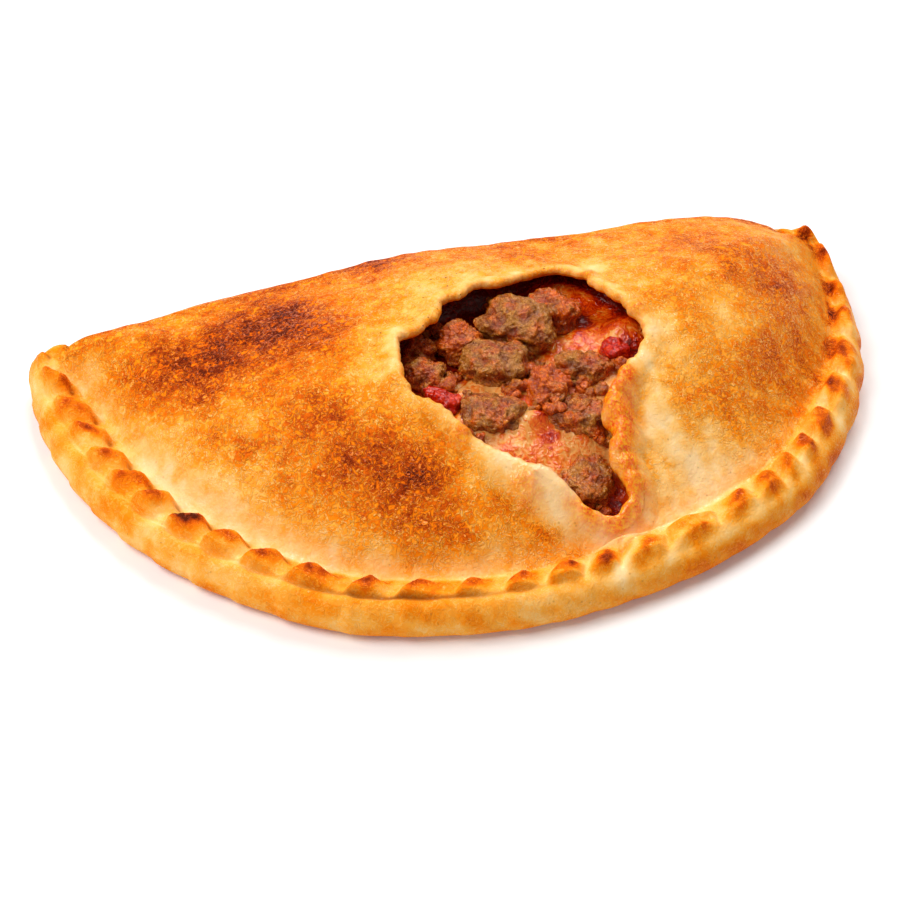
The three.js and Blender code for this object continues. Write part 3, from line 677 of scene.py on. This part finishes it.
# The puffed top and the valley beside the crimps.
on_wall = 1 - smooth(np.minimum(front, back) / 14)
blotch_places = flat + (on_wall * top)[:, None] * BLOTCH_DRIFT
baked = GOLDEN + swell(BROWN_PATCHES, flat) - swell(PALE_PATCHES, flat)
for size, seed, amount in BLOTCHES:
    baked += rumple(blotch_places, size, seed) * amount
lobes_here = is_lobe(along)
past_strip = (front - strip + 3) / VALLEY_REACH
valley = bell(np.where(past_strip > 0, past_strip, past_strip * 4)) * smooth((back - 6) / 14)
beside_first = bell((along - 70) / 50)
baked -= mix(*VALLEY_PALE, beside_first) * valley * mix(1, 0.5, lobes_here)

# The rolled rim, the wall and the crimps.
on_band = (1 - smooth((front - strip + 3) / 4)) * smooth((back - 2) / 6)
# The foot of the wall on the right is darker, partly toasted and partly painted shade.
toast_and_shade = WALL_TOAST_AND_SHADE * lobes_here * (1 - smooth(front / 3))
baked = mix(baked, band_tone(along, blotch_places) + toast_and_shade, on_band)
crimp_brown = np.minimum(crimp_brown, mix(*CRIMP_BROWNEST, lobes_here))
baked += mix(*CRIMP_BROWN, lobes_here) * crimp_brown - CRIMP_PALE * crimp_pale

# The lip, the fold and the inner side of the lobes.
oil_of_blobs = [(x, y, reach, 0.4 * high + 0.3) for x, y, reach, high in BLOBS]
stained = swell(oil_of_blobs, flat) + swell(OILED, flat)
stained = np.clip(stained + 0.3 * bell(lip_distance / 1.2) + 0.1 * bell(lip_distance / 3), 0, 1)
baked -= TEAR_PALE * bell(lip_distance / 4) * (1 - stained)
# The rolled lip is paler on top, partly pale dough and partly painted highlight, with a thin line of
# painted shade at its foot.
rolled = np.clip(roll / 4, 0, 1) * (1 - stained)
lip_foot = bell((over_lip - 1.25) / 0.22)
baked += rolled * (LIP_FOOT_SHADE * lip_foot - LIP_PALE_AND_HIGHLIGHT * bell(over_lip / 0.8))
# The fold is darker, partly toasted and partly painted shade along the back.
baked += FOLD_TOAST_AND_SHADE * bell(back / 12) * smooth((front - strip + 2) / 8)
baked += 0.08 * stained
# Painted shade on the inner side of the lobes, where they fall to the dome.
inner_side = smooth((front - CRIMP_MIDDLE[1]) / 3) * bell(np.maximum(front - strip - 1, 0) / 4)
baked += LOBE_INNER_SHADE * lobes_here * inner_side * np.where(front < strip + 12, 1, 0)
peppered = mix(PEPPER_ELSEWHERE, 1, np.clip(swell(PEPPER, flat), 0, 1))

# The base and the wall below its girth come first in the mesh, and what lies inside comes last.
lead = 1 + wall_rings * COLUMNS
base_rings = len(BASE_ROWS)
lead_tone = [np.full(1 + base_rings * COLUMNS, BASE_TONE)]
for ring in rings[base_rings:wall_rings]:
    ring_places = ring[:, :2] + ring[:, 2:] * BLOTCH_DRIFT
    # The wall on the right is darker, partly toasted and partly painted shade.
    front_tone = band_tone(start_along, ring_places) + WALL_TOAST_AND_SHADE * is_lobe(start_along)
    # The fold's wall darkens upwards, partly toasted and partly painted shade.
    fold_tone = GOLDEN + FOLD_TOAST_AND_SHADE * ring[:, 2] / girth + rumple(ring_places, 8, 1.1) * 0.07
    ring_tone = mix(front_tone, fold_tone, smooth(to_crimps / 12) * ~on_crimps)
    lead_tone.append(ring_tone + 0.2 * (1 - ring[:, 2] / girth))
tail = len(crust.data.vertices) - lead - len(flat)
paint(crust, "baked", np.clip(np.concatenate([*lead_tone, baked, np.full(tail, BASE_TONE)]), 0, 1.1))
paint(crust, "stained", np.concatenate([np.zeros(lead), stained, np.full(tail, 0.8)]))

SMOOTH_BAND = 0.35  # the rolled rim is this rough, where the blistered top is 1
lead_rough = np.tile(np.where(on_crimps, SMOOTH_BAND, 1), wall_rings)
skin_rough = mix(1, SMOOTH_BAND, on_band) * (1 - 0.75 * stained)
paint(crust, "rough_skin", np.concatenate([[SMOOTH_BAND], lead_rough, skin_rough, np.zeros(tail)]))


def paint_top(name, values):
    """Values for the top of the crust, with none for its base, its lower wall and its inside."""
    paint(crust, name, np.concatenate([np.zeros(lead), values, np.zeros(tail)]))


paint_top("glazed", np.clip(roll / 2.5, 0, 1) * tube)
paint_top("cracked", cracked)
paint_top("shining", mix(0.15, 1, smooth((back - 8) / 26)))  # the fold is dry, the rest has some fat
paint_top("peppered", peppered)


def new_finish(name):
    """A new material with its node tree, its surface shader and the place on the piece."""
    finish = bpy.data.materials.new(name)
    finish.use_nodes = True
    tree = finish.node_tree
    position = tree.nodes.new("ShaderNodeTexCoord").outputs["Object"]
    return finish, tree, tree.nodes["Principled BSDF"], position


def speckle(tree, position, size, detail=2.0, warp=0.0, rough=0.5):
    """Noise from 0 to 1 over bumps of that size."""
    node = tree.nodes.new("ShaderNodeTexNoise")
    node.inputs["Scale"].default_value = 1 / (size * MM)
    node.inputs["Detail"].default_value = detail
    node.inputs["Roughness"].default_value = rough
    node.inputs["Distortion"].default_value = warp
    tree.links.new(position, node.inputs["Vector"])
    return node.outputs["Fac"]


def cells(tree, position, size):
    """Distance from the middle of the nearest of many small cells of that size."""
    node = tree.nodes.new("ShaderNodeTexVoronoi")
    node.inputs["Scale"].default_value = 1 / (size * MM)
    tree.links.new(position, node.inputs["Vector"])
    return node.outputs["Distance"]


def calculate(tree, kind, a, b=None, c=None):
    """One sum of up to three values."""
    node = tree.nodes.new("ShaderNodeMath")
    node.operation = kind
    for socket, value in zip(node.inputs, (a, b, c)):
        if isinstance(value, (int, float)):
            socket.default_value = value
        elif value is not None:
            tree.links.new(value, socket)
    return node.outputs[0]


def product(tree, a, b):
    return calculate(tree, "MULTIPLY", a, b)


def scaled(tree, value, factor, plus):
    """A value times a factor, plus something."""
    return calculate(tree, "MULTIPLY_ADD", value, factor, plus)


def add_part(tree, total, value, amount):
    """A total plus a noise's departure from its middle, times an amount."""
    return scaled(tree, calculate(tree, "SUBTRACT", value, 0.5), amount, total)


def stretch(tree, value, low, high):
    """A value drawn out so that low becomes 0 and high becomes 1."""
    node = tree.nodes.new("ShaderNodeMapRange")
    node.inputs["From Min"].default_value = low
    node.inputs["From Max"].default_value = high
    tree.links.new(value, node.inputs["Value"])
    return node.outputs["Result"]


def pigment(shade):
    """A colour of 0 to 255 as the shader takes it."""
    return (*[(v / 255) ** 2.2 for v in shade], 1)


def colour_ramp(tree, value, stops):
    """Colours along a value, from stops of a place and a colour of 0 to 255."""
    node = tree.nodes.new("ShaderNodeValToRGB")
    ramp = node.color_ramp
    while len(ramp.elements) < len(stops):
        ramp.elements.new(0.5)
    for element, (place, shade) in zip(ramp.elements, stops):
        element.position = place
        element.color = pigment(shade)
    tree.links.new(value, node.inputs["Fac"])
    return node.outputs["Color"]


def lay_over(tree, share, below, above, kind="MIX"):
    """One colour laid over another by a share."""
    node = tree.nodes.new("ShaderNodeMix")
    node.data_type = "RGBA"
    node.blend_type = kind
    tree.links.new(share, node.inputs[0])
    tree.links.new(below, node.inputs[6])
    if isinstance(above, tuple):
        node.inputs[7].default_value = pigment(above)
    else:
        tree.links.new(above, node.inputs[7])
    return node.outputs[2]


def attribute(tree, name):
    """The values painted on the piece under that name."""
    node = tree.nodes.new("ShaderNodeAttribute")
    node.attribute_name = name
    return node.outputs["Fac"]


def raise_skin(tree, shader, layers):
    """Fine relief: each layer is a height from 0 to 1 and its depth."""
    normal = None
    for height, depth in layers:
        node = tree.nodes.new("ShaderNodeBump")
        node.inputs["Distance"].default_value = depth * MM
        tree.links.new(height, node.inputs["Height"])
        if normal:
            tree.links.new(normal, node.inputs["Normal"])
        normal = node.outputs["Normal"]
    tree.links.new(normal, shader.inputs["Normal"])
    tree.links.new(normal, shader.inputs["Coat Normal"])


def let_light_in(shader, weight, spread, depth):
    """Light that wanders under the surface, further in red than in blue."""
    shader.inputs["Subsurface Weight"].default_value = weight
    shader.inputs["Subsurface Radius"].default_value = spread
    shader.inputs["Subsurface Scale"].default_value = depth * MM


GRAIN = 0.9
BLISTER = 1.9
MOTTLE = 4.5
SPECK_APART = 2.6
SPECK_PATCH = 5.5
CRACK_BROWN = (120, 52, 16)
SPECK_BROWN = (110, 36, 8)
OIL_TONES = [(0.32, (255, 184, 24)), (0.5, (255, 124, 0)), (0.68, (240, 66, 0))]
CRUST_TONES = [
    (0.0, (255, 216, 156)), (0.15, (255, 196, 112)), (0.3, (255, 170, 62)), (0.45, (252, 140, 16)),
    (0.6, (232, 106, 4)), (0.73, (194, 76, 2)), (0.87, (146, 50, 2)), (1.0, (88, 28, 2)),
]
finish, tree, shader, position = new_finish("baked_dough")
browning = attribute(tree, "baked")
rough_skin = attribute(tree, "rough_skin")
grain = speckle(tree, position, GRAIN, detail=2, warp=0.9)
mottle = speckle(tree, position, MOTTLE, detail=3)
blisters = speckle(tree, position, BLISTER, detail=1.5, warp=1.3)
off_rim = calculate(tree, "ABSOLUTE", calculate(tree, "SUBTRACT", blisters, 0.5))
squiggles = stretch(tree, off_rim, 0.06, 0.0)
rims = stretch(tree, off_rim, 0.13, 0.05)

# The browner the skin is, the more its tone varies. Along the rims of its blisters run curly strokes,
# raised and painted paler, partly paler dough and partly painted highlight, with a band of painted
# shade beside them.
uneven = product(tree, browning, rough_skin)
blistered = product(tree, stretch(tree, browning, 0.12, 0.55), rough_skin)
tone = add_part(tree, browning, blisters, scaled(tree, uneven, 0.9, 0.04))
tone = add_part(tree, tone, grain, scaled(tree, uneven, 0.9, -0.08))
tone = add_part(tree, tone, mottle, 0.34)
tone = scaled(tree, rims, product(tree, uneven, 0.24), tone)
strokes = scaled(tree, blistered, -0.34, -0.06)
tone = scaled(tree, squiggles, strokes, tone)
colour = colour_ramp(tree, tone, CRUST_TONES)

# Orange oil in blotches, dark cracks and specks of burnt flour lie over it.
blotch = stretch(tree, mottle, 0.35, 0.65)
oily = scaled(tree, blotch, 0.4, 0.6)
oily = product(tree, attribute(tree, "stained"), oily)
colour = lay_over(tree, oily, colour, colour_ramp(tree, grain, OIL_TONES))
colour = lay_over(tree, attribute(tree, "cracked"), colour, CRACK_BROWN)
specks = stretch(tree, cells(tree, position, SPECK_APART), 0.16, 0.1)
sparse = stretch(tree, speckle(tree, position, SPECK_PATCH), 0.5, 0.56)
specks = product(tree, specks, sparse)
specks = product(tree, specks, attribute(tree, "peppered"))
colour = lay_over(tree, specks, colour, SPECK_BROWN)
tree.links.new(colour, shader.inputs["Base Color"])

# The rims of the blisters and the rolled lip shine with fat, and the oil shines too.
tree.links.new(scaled(tree, squiggles, -0.4, 0.66), shader.inputs["Roughness"])
glaze = scaled(tree, attribute(tree, "glazed"), 0.5, 0.0)
shining = product(tree, attribute(tree, "shining"), rough_skin)
glaze = scaled(tree, product(tree, squiggles, shining), 0.7, glaze)
tree.links.new(scaled(tree, oily, 0.5, glaze), shader.inputs["Coat Weight"])
shader.inputs["Coat Roughness"].default_value = 0.14
shader.inputs["Specular IOR Level"].default_value = 0.1
shader.inputs["Specular Tint"].default_value = (1.0, 0.82, 0.55, 1)
let_light_in(shader, 0.12, (1.0, 0.45, 0.15), 2.5)
raised = product(tree, squiggles, blistered)
bubbles = product(tree, blisters, scaled(tree, blistered, 0.75, 0.25))
raise_skin(tree, shader, [(mottle, 0.6), (bubbles, 0.6), (raised, 0.32), (grain, 0.14)])
crust.data.materials.append(finish)
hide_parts("crust")
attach(crust, "root")

# ---------------------------------------------------------------- melted cheese
# Mozzarella that melted into tomato sauce and meat fat. It fills the pocket of dough, pools
# between the pieces of meat and climbs to the dough at the right of the hole.

CHEESE_LEVEL = 31  # it fills the pocket up to here
CHEESE_DEPTH = 7  # but where the crust is low, it lies this far below its top
LEAST_CHEESE = 4  # under the hole it is at least this thick, before it dips
# It stands higher here: x, y, reach, height.
CHEESE_SWELLS = [(46, 9, 9, 7), (31, 12, 6, 2.5), (3, -29, 8, 1.5)]
CHEESE_SUNK = 0.4
# Size, seed and depth of its runs and dips.
CHEESE_WAVES = ((10, 2.9, 1.0), (4.5, 5.2, 0.5), (2, 7.3, 0.14))
SHEET_GAP = 0.7  # clear of the dough above it, beside it and below it
SIDE_GAP = 1
FLOOR_GAP = 0.3
UNDER_LIP = (4.4, 3, 1.8, 0.9)  # rows at these distances from the tear, under the lip
EVERY_OTHER = slice(None, None, 2)
CHEESE_ROWS = 64


def cheese_level(places):
    """Height of the cheese before it ran and dipped."""
    below_crust = plain_top(places)[0] - CHEESE_DEPTH
    level = np.minimum(CHEESE_LEVEL, below_crust) + swell(CHEESE_SWELLS, places)
    return np.maximum(level, BASE_DOUGH + LEAST_CHEESE)


cheese_way = way[EVERY_OTHER]
cheese_rim = rim_at[EVERY_OTHER]
cheese_columns = len(cheese_rim)
bed = np.full(cheese_columns, BASE_DOUGH + FLOOR_GAP)
bottom = roof[-1][EVERY_OTHER, :2] + cheese_way * SIDE_GAP
cheese_rings = [np.column_stack([mix(TEAR_MIDDLE, bottom, 0.5), bed]), np.column_stack([bottom, bed])]
for ring in roof[::-1]:
    place = ring[EVERY_OTHER, :2] + cheese_way * SIDE_GAP
    cheese_rings.append(np.column_stack([place, ring[EVERY_OTHER, 2] - SHEET_GAP]))
cheese_rings[-1][:, 2] = np.minimum(cheese_rings[-1][:, 2], cheese_level(place))
hidden_points = 1 + len(cheese_rings) * cheese_columns
cheese_places = [cheese_rim + rim_out[EVERY_OTHER] * distance for distance in UNDER_LIP]
for share in np.linspace(1, 0, CHEESE_ROWS + 1)[:-1]:
    cheese_places.append(mix(TEAR_MIDDLE, cheese_rim, share))
cheese_flat = np.vstack(cheese_places)
level = cheese_level(cheese_flat) - CHEESE_SUNK
level += sum(rumple(cheese_flat, size, seed) * depth for size, seed, depth in CHEESE_WAVES)
lip_rows = len(UNDER_LIP) + 1
lip_points = lip_rows * cheese_columns
under_lip = np.tile((rim_top - 2 * lip_round - SHEET_GAP)[EVERY_OTHER], lip_rows)
level[:lip_points] = np.minimum(level[:lip_points], under_lip)
for r, place in enumerate(cheese_places):
    cheese_rings.append(np.column_stack([place, level[r * cheese_columns:(r + 1) * cheese_columns]]))
cheese = close_skin("melted_cheese", cheese_rings, (*TEAR_MIDDLE, BASE_DOUGH + FLOOR_GAP),
                    (*TEAR_MIDDLE, float(cheese_level(TEAR_MIDDLE[None])[0])))
# Where sauce colours the cheese red, and where painted shade darkens it under the back of the rim: x,
# y, reach, amount.
SAUCE_AND_SHADE = [(8, 34, 12, 1.2), (24, 36, 10, 1.0), (-8, 30, 12, 1.2), (-22, 16, 11, 1.2), (40, 25, 9, 0.6),
         (46, 2, 5, 0.8), (-18, -6, 8, 0.7), (11, -22, 4, 0.6), (24, -42, 8, 0.8), (-6, 14, 9, 0.8),
         (20, 6, 6, 0.5), (12, -10, 7, 0.5), (48, 13, 6, 0.5), (2, -28, 6, 0.25), (33, 13, 8, 0.4)]
sauce_and_shade_amount = np.clip(swell(SAUCE_AND_SHADE, cheese_flat) + rumple(cheese_flat, 6, 3.3) * 0.3, 0, 1)
# The cheese hidden under the roof is painted fully dark red, as painted shade.
paint(cheese, "sauce_and_shade", np.concatenate([np.full(hidden_points, 1.0), sauce_and_shade_amount, [0.3]]))

finish, tree, shader, position = new_finish("melted_cheese")
streaks = speckle(tree, position, 2.6, detail=3, warp=1.8)
fat = speckle(tree, position, 1.2, detail=2, warp=0.6)
tone = add_part(tree, attribute(tree, "sauce_and_shade"), streaks, 1.3)
CHEESE_TONES = [(0.0, (240, 168, 88)), (0.2, (232, 118, 30)), (0.45, (218, 72, 4)),
                (0.7, (170, 32, 0)), (1.0, (96, 12, 0))]
tree.links.new(colour_ramp(tree, tone, CHEESE_TONES), shader.inputs["Base Color"])
tree.links.new(scaled(tree, fat, 0.16, 0.02), shader.inputs["Roughness"])
shader.inputs["Specular IOR Level"].default_value = 0.6
let_light_in(shader, 0.15, (1.0, 0.4, 0.2), 2)
raise_skin(tree, shader, [(streaks, 0.6), (fat, 0.2)])
cheese.data.materials.append(finish)
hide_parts("filling")
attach(cheese, "root")

# ---------------------------------------------------------------- minced meat
# Beef mince, fried in crumbles and folded in with the cheese. Each is coarse and craggy,
# grey-brown where it was broken open and rust-red where the sauce took, with a film of fat.

# Node, x, y, middle height, length, width, height, turn in degrees, and how rusty it is.
MEAT = [
    ("meat_1", 14, 19, 36, 25, 18, 13, -35, 0.2), ("meat_2", 27, 24, 34, 18, 13, 12, -45, 0.75),
    ("meat_3", -5, 18, 34, 15, 13, 12, 15, 0.85), ("meat_4", 3, 6, 33.5, 21, 15, 12, -20, 0.25),
    ("meat_5", 28, -1, 31.5, 18, 12, 11, -30, 0.45), ("meat_6", 16, -6, 30.5, 13, 13, 12, 10, 1.0),
    ("meat_7", -4, -12, 29.5, 20, 15, 12, -30, 0.3), ("meat_8", 22, -17, 27, 19, 15, 12, -15, 0.45),
    ("meat_9", 19, -35, 17.5, 16, 17, 12, -60, 0.35), ("meat_10", -19, 7, 33, 13, 10, 9, -20, 0.5),
    ("meat_11", -17, 20, 31, 10, 9, 9, 0, 0.9),
]
MEAT_CRAGS = ((4.5, 0.8), (2.2, 0.55), (1.1, 0.35), (0.6, 0.16))  # sizes and depths of its lumps
LUMP_DETAIL = 6
LUMP_ROUND = 0.45  # a lump is round by this share and square by the rest
CRAG_GAIN = 1.5
PIT_GAIN = 1.2
PIT_MIDDLE = 0.3


def crumble(name, x, y, z, length, width, height, turn, seed, crags, detail):
    """A craggy lump of that size, turned about its upright axis, painted darker in its hollows as
    shade.
    """
    bpy.ops.mesh.primitive_ico_sphere_add(subdivisions=detail, radius=1)
    made = bpy.context.active_object
    made.name = made.data.name = name
    points = np.empty(len(made.data.vertices) * 3)
    made.data.vertices.foreach_get("co", points)
    v = points.reshape(-1, 3)
    square = (v ** 4).sum(1) ** 0.25
    bumps = 0.07 * np.sin(3.1 * v[:, 0] + 1.7 * seed) * np.cos(2.7 * v[:, 1] - seed)
    bumps += 0.06 * np.sin(5.3 * v[:, 2] + 2.3 * seed + 3.7 * v[:, 1])
    form = (LUMP_ROUND + (1 - LUMP_ROUND) / square) * (0.96 + bumps)
    v = v * form[:, None] * np.array([length, width, height]) / 2
    outward = v / np.linalg.norm(v, axis=1)[:, None]
    pit_shade_depth = np.zeros(len(v))
    for size, depth in crags:
        wave = np.array([noise.noise(Vector(p / size + seed * 7.7)) for p in v])
        v = v + outward * (wave * CRAG_GAIN * depth)[:, None]
        pit_shade_depth -= wave * PIT_GAIN * depth / crags[0][1]
    angle = math.radians(turn)
    turned = np.stack([v[:, 0] * math.cos(angle) - v[:, 1] * math.sin(angle),
                       v[:, 0] * math.sin(angle) + v[:, 1] * math.cos(angle), v[:, 2]], 1)
    made.data.vertices.foreach_set("co", ((turned + [x, y, z]) * MM).ravel())
    made.data.update()
    made.data.shade_smooth()
    paint(made, "pit_shade", np.clip(PIT_MIDDLE + pit_shade_depth, 0, 1))
    return made


GREY_MEAT = [(0.0, (72, 30, 0)), (0.35, (146, 80, 12)), (0.6, (188, 118, 40)),
             (0.85, (222, 164, 82)), (1.0, (250, 212, 140))]
RUSTY_MEAT = [(0.0, (104, 24, 0)), (0.35, (178, 62, 0)), (0.6, (222, 94, 0)),
              (0.85, (248, 138, 6)), (1.0, (255, 184, 50))]
PIT_SHADE = (168, 90, 18)
finish, tree, shader, position = new_finish("browned_mince")
fibre = speckle(tree, position, 1.5, detail=3, warp=1.6, rough=0.6)
crumbs = speckle(tree, position, 0.7, detail=2, warp=0.5, rough=0.6)
patches = speckle(tree, position, 4.0, detail=3)
tone = scaled(tree, calculate(tree, "SUBTRACT", fibre, 0.5), 1.3, 0.5)
tone = add_part(tree, tone, crumbs, 0.5)
rust = stretch(tree, add_part(tree, attribute(tree, "rusty"), patches, 3.6), 0.0, 1.0)
colour = lay_over(tree, rust, colour_ramp(tree, tone, GREY_MEAT), colour_ramp(tree, tone, RUSTY_MEAT))
# Painted shade in the hollows of the crags.
dark = product(tree, attribute(tree, "pit_shade"), 0.8)
colour = lay_over(tree, dark, colour, PIT_SHADE, "MULTIPLY")
tree.links.new(colour, shader.inputs["Base Color"])
tree.links.new(scaled(tree, crumbs, 0.36, 0.02), shader.inputs["Roughness"])
shader.inputs["Specular IOR Level"].default_value = 0.6
shader.inputs["Specular Tint"].default_value = (1.0, 0.76, 0.46, 1)
shader.inputs["Coat Weight"].default_value = 0.42
shader.inputs["Coat Roughness"].default_value = 0.1
raise_skin(tree, shader, [(fibre, 0.7), (crumbs, 0.35)])

for seed, (node, *size_and_place, rustiness) in enumerate(MEAT, 1):
    lump = crumble(f"{node}_crumble", *size_and_place, seed, MEAT_CRAGS, LUMP_DETAIL)
    paint(lump, "rusty", np.full(len(lump.data.vertices), rustiness))
    lump.data.materials.append(finish)
    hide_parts(node)
    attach(lump, "root")

# Loose crumbs of the same mince lie between the big ones: x, y, reach and how many.
CRUMB_HEAPS = [(-8, 4, 6, 16), (-16, 0, 5, 12), (-20, 13, 5, 10), (4, 14, 6, 10), (15, 5, 5, 14),
               (7, -4, 5, 14), (26, -9, 5, 14), (14, -13, 4, 14), (30, 31, 5, 10), (12, 32, 6, 12),
               (-9, 25, 5, 10), (26, -25, 3, 10), (20, -43, 4, 10), (25, -37, 3, 6), (39, -3, 3, 8),
               (-12, -20, 3, 6)]
CRUMB_SIZES = (2.2, 5.0)
CRUMB_WIDTHS = (0.6, 0.9)  # shares of its length
CRUMB_HIGH = 0.75
CRUMB_LIFTS = (0.0, 0.45)  # shares of its length above the cheese
CRUMB_RUST = (0.3, 1.1)
CRUMB_CRAGS = ((1.6, 0.5), (0.8, 0.22))
CRUMB_DETAIL = 3
pinch = random.Random(11)
crumbs_made = []
for x, y, reach, count in CRUMB_HEAPS:
    for _ in range(count):
        place = np.array([[pinch.gauss(x, reach / 2), pinch.gauss(y, reach / 2)]])
        size = pinch.uniform(*CRUMB_SIZES)
        z = float(cheese_level(place)[0]) + pinch.uniform(*CRUMB_LIFTS) * size
        width = size * pinch.uniform(*CRUMB_WIDTHS)
        turn = pinch.uniform(0, 180)
        seed = pinch.uniform(0, 50)
        crumb = crumble("crumb", *place[0], z, size, width, size * CRUMB_HIGH, turn, seed,
                        CRUMB_CRAGS, CRUMB_DETAIL)
        paint(crumb, "rusty", np.full(len(crumb.data.vertices), pinch.uniform(*CRUMB_RUST)))
        crumbs_made.append(crumb)
for crumb in crumbs_made:
    crumb.select_set(True)
bpy.context.view_layer.objects.active = crumbs_made[0]
bpy.ops.object.join()
loose_mince = bpy.context.active_object
loose_mince.name = loose_mince.data.name = "mince_crumbs"
loose_mince.data.materials.append(finish)
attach(loose_mince, "root")

# ---------------------------------------------------------------- tomato
# Soft pieces of peeled tomato from the sauce, collapsed and shining wet.

TOMATO = [
    ("tomato_1", -17, -4, 31.5, 13, 9, 7, -40), ("tomato_2", 40, 3, 32.5, 10, 9, 8, 20),
    ("tomato_3", 12, -23, 22.5, 9, 7, 5, -10),
]
TOMATO_CRAGS = ((3.4, 0.8), (1.5, 0.35), (0.8, 0.14))
TOMATO_TONES = [(0.25, (120, 6, 0)), (0.5, (190, 26, 0)), (0.68, (222, 60, 4)), (0.85, (240, 110, 30))]
finish, tree, shader, position = new_finish("stewed_tomato")
pulp = speckle(tree, position, 1.8, detail=3, warp=1.5)
tree.links.new(colour_ramp(tree, pulp, TOMATO_TONES), shader.inputs["Base Color"])
shader.inputs["Roughness"].default_value = 0.14
let_light_in(shader, 0.2, (1.0, 0.2, 0.1), 2)
raise_skin(tree, shader, [(pulp, 0.6)])
for seed, (node, *size_and_place) in enumerate(TOMATO, 21):
    lump = crumble(f"{node}_piece", *size_and_place, seed, TOMATO_CRAGS, LUMP_DETAIL)
    lump.data.materials.append(finish)
    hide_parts(node)
    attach(lump, "root")

# ---------------------------------------------------------------- table top, light and camera
# A white table top under one soft light from above on the left and a weaker one from behind on
# the right, in a bright room. A small lamp at the back puts glints on what is wet.

TABLE_SIZE = 12  # metres, like the places of the lights and the camera below
TABLE_LOW = 0.0002  # just clear of the base
bpy.ops.mesh.primitive_plane_add(size=TABLE_SIZE, location=(0, 0, -TABLE_LOW))
table = bpy.context.active_object
table.name = "table_top"
finish, tree, shader, position = new_finish("white_table")
shader.inputs["Base Color"].default_value = (0.87, 0.87, 0.87, 1)
shader.inputs["Roughness"].default_value = 0.9
shader.inputs["Specular IOR Level"].default_value = 0.1
shader.inputs["Emission Color"].default_value = (1, 1, 1, 1)
shader.inputs["Emission Strength"].default_value = 0.1
table.data.materials.append(finish)


def soft_light(name, place, size, watts):
    """A square lamp of that size that faces the calzone."""
    lamp = bpy.data.lights.new(name, "AREA")
    lamp.shape = "SQUARE"
    lamp.size = size
    lamp.energy = watts
    made = bpy.data.objects.new(name, lamp)
    made.location = place
    made.rotation_euler = (-Vector(place)).to_track_quat("-Z", "Y").to_euler()
    bpy.context.scene.collection.objects.link(made)


soft_light("left_light", (-0.86, 0.06, 1.2), 0.9, 17.5)
soft_light("back_light", (0.62, 0.68, 1.22), 0.9, 14)
soft_light("glint_lamp", (0.16, 0.95, 1.1), 0.2, 3.2)

room = bpy.data.worlds.new("bright_room")
room.use_nodes = True
walls = room.node_tree.nodes["Background"]
walls.inputs["Color"].default_value = (1, 0.93, 0.84, 1)
walls.inputs["Strength"].default_value = 0.25
bpy.context.scene.world = room
bpy.context.scene.view_settings.view_transform = "Standard"

lens = bpy.data.cameras.new("camera")
lens.lens = 90
lens.sensor_width = 36
camera = bpy.data.objects.new("camera", lens)
camera.location = (-0.1487, -0.4875, 0.4821)
aim = Vector((-0.0152, -0.0079, 0.015))
camera.rotation_euler = (aim - camera.location).to_track_quat("-Z", "Y").to_euler()
bpy.context.scene.collection.objects.link(camera)
bpy.context.scene.camera = camera
